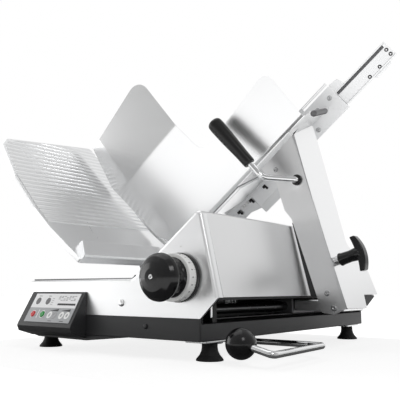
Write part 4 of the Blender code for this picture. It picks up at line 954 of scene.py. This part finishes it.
# ---------------------------------------------------------------- blade and drive
def make_blade():
    """Blade, cover, guard, column, bearing and the drive inside the column."""
    center = on_slope(0, BLADE_N, BLADE_Y)
    t = BLADE_T
    blade = lathe("slicing_blade", [(0.048, t), (0.125, t), (0.1252, t - 0.0004), (0.1548, t - 0.0004),
        (0.155, t), (0.165, t - 0.0022), (0.165, t - 0.0025), (0.15, t - 0.003), (0.005, t - 0.003),
        (0.005, t - 0.0012), (0.047, t - 0.0012), (0.048, t)], T, center, BLADE, 180)
    settle(blade, "blade_rotor", "blade")
    set_lathe("rotor_hub", [(0.0048, t - 0.0033), (0.035, t - 0.0033), (0.035, t - 0.012),
        (0.01, t - 0.012), (0.01, t - 0.076), (0.0048, t - 0.076), (0.0048, t - 0.0033)], (0.001,), T,
        center, STEEL, 64, "blade_rotor", "blade_hub")

    def gear(r, h, a):
        return r - 0.0011 + 0.0011 * math.cos(30 * a) if r > 0.02 else r

    wheel = lathe("rotor_gear", softened([(0.0103, t - 0.053), (0.0225, t - 0.053), (0.0225, t - 0.067),
        (0.0103, t - 0.067), (0.0103, t - 0.053)], 0.0004), T, center, BRONZE, 240, gear)
    settle(wheel, "blade_rotor", "worm_wheel")
    set_lathe("blade_disc", [(0.0, t + 0.0022), (0.015, t + 0.0024), (0.052, t + 0.0026),
        (0.06, t + 0.0024), (0.112, t + 0.0016), (0.118, t + 0.0012), (0.12, t + 0.0006),
        (0.119, t + 0.0004), (0.0, t + 0.0004)], (0.004,), T, center, STAINLESS, 160, "base",
        "blade_cover")

    def flutes(r, h, a):
        return r * (1 + 0.04 * math.cos(12 * a)) if r > 0.0155 else r

    back = t - 0.0995
    release = lathe("cover_release", softened([(0.0, t + 0.0001), (0.0045, t + 0.0001),
        (0.0045, back - 0.0043), (0.008, back - 0.0043), (0.014, back - 0.0075), (0.0163, back - 0.014),
        (0.0158, back - 0.021), (0.012, back - 0.0238), (0.0, back - 0.024)], 0.003), T, center, BLACK,
        144, flutes)
    settle(release, "cover_release", "cover_knob")

    turn = turn_matrix(T, (0, 0, 0)).to_3x3().inverted()
    begin = turn @ (Y * math.cos(math.radians(-80)) + N * math.sin(math.radians(-80)))
    first = math.degrees(math.atan2(begin.y, begin.x))
    guard = lathe("blade_guard", softened([(0.169, t + 0.0008), (0.1705, t + 0.002), (0.178, t + 0.002),
        (0.18, t + 0.0002), (0.18, t - 0.0095), (0.1782, t - 0.0115), (0.1702, t - 0.0115),
        (0.169, t - 0.01), (0.169, t + 0.0008)], 0.0015), T, center, CAST, 120, None,
        (first, first + 180))
    settle(guard, "base", "guard_ring")
    settle(soften(block("guard_strap", (0.4562, 0.4255, t - 0.0191), (0.5878, 0.4545, t - 0.0121),
        SLOPE_FRAME, CAST), 0.002, 3), "base", "guard_bracket")
    set_slab("slice_chute", [(0.2722, 0.2902, 0.006), (0.3693, 0.2902, 0.006), (0.3693, 0.4998, 0.012),
        (0.2722, 0.4998, 0.02)], 8, -0.1859, -0.1841, SLOPE_FRAME, STAINLESS, (0.0004, 2), "base",
        "slice_deflector")
    set_lathe("rotor_bearing", [(0.0103, t - 0.0135), (0.0185, t - 0.0135), (0.022, t - 0.015),
        (0.022, t - 0.0385), (0.0103, t - 0.0385), (0.0103, t - 0.0135)], (0.001,), T, center, IRON, 96,
        "base", "bearing_housing")

    def line(at, z):
        n = (z - at * T.z) / N.z
        return (at * T.x + n * N.x, z)

    front, rear, high, foot = t - 0.0195, t - 0.0995, 0.5, LOW_TOP + 0.001
    tall = outline([(-0.4048, foot, 0.003), (*line(front, foot), 0.003),
        (*tuple(on_slope(front, high, 0).xz), 0.02), (*tuple(on_slope(rear, high, 0).xz), 0.028),
        (-0.4048, line(rear, 0.132)[1], 0.01)], 10)
    column = slab("drive_column", tall, -0.49, -0.37, SIDE_FRAME, CAST)
    boolean(column, lathe("t", [(0.0, 0.02), (0.0224, 0.02), (0.0224, -0.0235), (0.0, -0.0235)], T,
        center + T * front, None, 64))
    boolean(column, lathe("t", [(0.0, 0.01), (0.0052, 0.01), (0.0052, -0.09), (0.0, -0.09)], T,
        center + T * front, None, 48))
    settle(soften(column, 0.0065, 5, 40), "base", "blade_column")
    bolts = [screw_head(on_slope(0, n, y) + T * rear, -T,
        0.004) for n in (0.3, 0.478) for y in (0.384, 0.476)]
    settle(merged("column_bolts", bolts), "base")
    # The vents are thin near-black strips on the column's back: painted shade for the slot openings.
    vents = [slab("t", outline([(0.398, 0.335 + 0.009 * k, 0.0018), (0.462, 0.335 + 0.009 * k, 0.0018),
        (0.462, 0.339 + 0.009 * k, 0.0018), (0.398, 0.339 + 0.009 * k, 0.0018)], 4), rear - 0.0006,
        rear + 0.0003, SLOPE_FRAME, SHADE_BLACK) for k in range(8)]
    settle(merged("column_vents", vents), "base")


def make_mechanism():
    """Motor and worm inside the column, the gauge's slide, and the inlet at the back."""
    worm = on_slope(BLADE_T - 0.06, 0, BLADE_Y + 0.033)
    motor = lathe("drive_motor", softened([(0.0, 0.3448), (0.026, 0.3448), (0.028, 0.34),
        (0.0298, 0.339), (0.0298, 0.243), (0.028, 0.242), (0.026, 0.2352), (0.0, 0.2352)], 0.002), N,
        worm, IRON, 96, lambda r, h, a: r - 0.0008 + 0.0008 * math.cos(28 * a) if r > 0.029 else r)
    settle(motor, "base", "motor")

    screw = [(0.0, 0.48), (0.004, 0.48), (0.004, 0.466)]
    screw += [(0.0078 + 0.0011 * math.cos(math.pi * k), 0.4645 - 0.0024 * k) for k in range(21)]
    screw += [(0.004, 0.4145), (0.004, 0.3455), (0.0, 0.3455)]
    settle(lathe("drive_worm", screw, N, worm, STEEL, 64), "motor_rotor", "motor_worm")

    back = GAUGE_FACE - 0.0119
    neck = outline([(*tuple(on_slope(back, 0.3595, 0).xz), 0.003), (-0.3708, 0.17, 0.01),
        (-0.3459, 0.12, 0.012), (-0.3448, 0.0862, 0.002), (-0.3252, 0.0862, 0.002),
        (-0.3252, 0.106, 0.01), (*tuple(on_slope(back, 0.2905, 0).xz), 0.003)], 6)
    bracket = slab("gauge_neck", neck, -0.2598, -0.2382, SIDE_FRAME, IRON)
    settle(soften(bracket, 0.0018, 3), "gauge", "gauge_bracket")
    slider = Vector((-0.335, 0.249, 0.068))
    shaft = rod("gauge_rod", slider - T * 0.0438, slider + T * 0.0198, 0.006, STEEL, 48, 0.001)
    settle(shaft, "base", "gauge_slide_shaft")
    carrier = lathe("gauge_carrier", softened([(0.0063, 0.0149), (0.0104, 0.0149), (0.0104, -0.0149),
        (0.0063, -0.0149), (0.0063, 0.0149)], 0.001), T, slider, BRONZE, 64)
    push = rod("t", slider + X * 0.01 + Z * 0.001, (-0.078, 0.249, 0.069), 0.0035, BRONZE, 32)
    settle(merged("gauge_carrier", [carrier, push]), "gauge", "gauge_slide_block")
    spindle = rod("setting_spindle", (KNOB_X, -0.0215, KNOB_Z), (KNOB_X, 0.2598, KNOB_Z), 0.0059, STEEL,
        48)
    settle(spindle, "thickness_control", "thickness_shaft")
    spiral = [(math.cos(math.radians(k * 3)) * (0.0099 + 0.012 * k / 120),
        math.sin(math.radians(k * 3)) * (0.0099 + 0.012 * k / 120)) for k in range(120)]
    cam = slab("setting_cam", spiral, 0.0002, 0.0078, axes(X, -Z, Y, (KNOB_X, 0.245, KNOB_Z)), BRONZE)
    settle(soften(cam, 0.0006, 2), "thickness_control", "thickness_cam")

    set_lathe("inlet_bush", [(0.0, -0.02), (0.0105, -0.02), (0.0105, 0.0005), (0.015, 0.0005),
        (0.015, 0.0028), (0.0136, 0.004), (0.009, 0.004), (0.0086, 0.002), (0.0, 0.002)], (0.0008,), Y,
        (-0.345, 0.6, 0.062), BLACK, 80, "base", "power_inlet")
    pins = [rod("t", (-0.345 + x, 0.6015, 0.062 + z), (-0.345 + x, 0.6036, 0.062 + z), 0.0013, STEEL,
        24, 0.0004) for x, z in ((-0.004, 0.0), (0.004, 0.0), (0.0, 0.004))]
    settle(merged("inlet_pins", pins), "base")


def make_recess_trim():
    """Small fittings in the dark carriage recess: the corner post and the carriage's catch."""
    set_slab("recess_post", [(0.0, 0.0345, 0.001), (0.0026, 0.0345, 0.001), (0.0026, 0.0625, 0.001),
        (0.0, 0.0625, 0.001)], 3, -0.027, -0.023, SIDE_FRAME, ALUMINIUM, (0.0005, 2), "base")
    settle(soften(block("catch_plate", (-0.064, 0.129, 0.048), (-0.061, 0.19, 0.062), MACHINE, IRON),
        0.0008, 2), "base")
    bits = [soften(block("t", (-0.061, 0.148 + d, 0.05), (-0.058, 0.148 + d + w, 0.06), MACHINE, STEEL),
        0.0006, 2) for d, w in ((0.0, 0.003), (0.006, 0.009), (0.02, 0.003), (0.029, 0.004))]
    settle(merged("catch_fingers", bits), "base")


make_pan()
make_housing()
make_control_box()
make_knob()
make_stop_plate()
make_table()
make_table_support()
make_arm()
make_handle()
make_pusher()
make_lever()
make_blade()
make_mechanism()
make_recess_trim()


# ---------------------------------------------------------------- stage, lights and camera
def studio_material(name, grey, glow=0.0):
    """A matt grey for the stage; glow adds plain white light of its own."""
    mat = bpy.data.materials.new(name)
    mat.use_nodes = True
    shader = mat.node_tree.nodes["Principled BSDF"]
    shader.inputs["Base Color"].default_value = (grey, grey, grey, 1)
    shader.inputs["Roughness"].default_value = 0.85
    shader.inputs["Specular IOR Level"].default_value = 0.1
    if glow:
        shader.inputs["Emission Color"].default_value = (1, 1, 1, 1)
        shader.inputs["Emission Strength"].default_value = glow
    return mat


def quad(name, corners, mat):
    mesh = bpy.data.meshes.new(name)
    mesh.from_pydata([tuple(c) for c in corners], [], [(0, 1, 2, 3)])
    return link_object(name, mesh, Matrix(), mat)


FLOOR_Z = ORIGIN.z - 0.031
floor = quad("studio_floor", [(-6, -6, FLOOR_Z), (6, -6, FLOOR_Z), (6, 6, FLOOR_Z), (-6, 6, FLOOR_Z)],
    studio_material("studio_floor", 0.66, 0.75))

card = quad("studio_card", [ORIGIN + Vector(c) for c in ((-0.6, -0.2, -0.0306), (0.32, -0.2, -0.0306),
    (0.32, 0.62, -0.0306), (-0.6, 0.62, -0.0306))], studio_material("studio_card", 0.16))
card.visible_camera = False     # a dark card just above the floor: unseen, but reflected and bounced
card.visible_shadow = False


def area(name, place, aim, size, power):
    light = bpy.data.lights.new(name, "AREA")
    light.energy, light.size = power, size
    obj = bpy.data.objects.new(name, light)
    bpy.context.scene.collection.objects.link(obj)
    obj.location = place
    obj.rotation_euler = (Vector(aim) - Vector(place)).to_track_quat("-Z", "Y").to_euler()


area("top_box", (-0.5, -0.3, 2.2), (-0.1, 0, 0.2), 1.8, 8)
area("left_box", (-2.3, -1.1, 0.55), (-0.1, 0, 0.2), 1.5, 14)
area("back_box", (0.75, 2.0, 1.35), (0, 0.2, 0.2), 1.8, 3)
area("right_box", (1.4, -1.1, 1.2), (0, 0, 0.15), 0.5, 4)

SKY_LEVEL, SKY_LEAN = 0.6, (-0.13, 0.17, 0.08)            # its mean strength, and where it grows
world = bpy.data.worlds.new("studio")
bpy.context.scene.world = world
world.use_nodes = True
tree = world.node_tree
link = tree.links.new
sky = tree.nodes["Background"]
sky.inputs["Color"].default_value = (1, 1, 1, 1)
coords = node(tree, "ShaderNodeTexCoord")
facing = node(tree, "ShaderNodeVectorMath", operation="DOT_PRODUCT")
facing.inputs[1].default_value = SKY_LEAN
level = node(tree, "ShaderNodeMath", operation="ADD")
level.inputs[1].default_value = SKY_LEVEL
white = node(tree, "ShaderNodeBackground", Strength=1.0, Color=(1, 1, 1, 1))
eye, either = node(tree, "ShaderNodeLightPath"), node(tree, "ShaderNodeMixShader")
link(coords.outputs["Generated"], facing.inputs[0])
link(facing.outputs["Value"], level.inputs[0])
link(level.outputs[0], sky.inputs["Strength"])
link(eye.outputs["Is Camera Ray"], either.inputs[0])      # plain white behind the object
link(sky.outputs[0], either.inputs[1])
link(white.outputs[0], either.inputs[2])
link(either.outputs[0], tree.nodes["World Output"].inputs["Surface"])

lens = bpy.data.cameras.new("camera")
lens.lens, lens.sensor_width, lens.clip_start = 53.7, 36.0, 0.01
camera = bpy.data.objects.new("camera", lens)
bpy.context.scene.collection.objects.link(camera)
camera.rotation_euler = (math.radians(98.43), 0.0, math.radians(37.51))
camera.location = ORIGIN + Vector((0.5455, -0.7111, 0.0785))
bpy.context.scene.camera = camera
bpy.context.scene.view_settings.view_transform = "Standard"
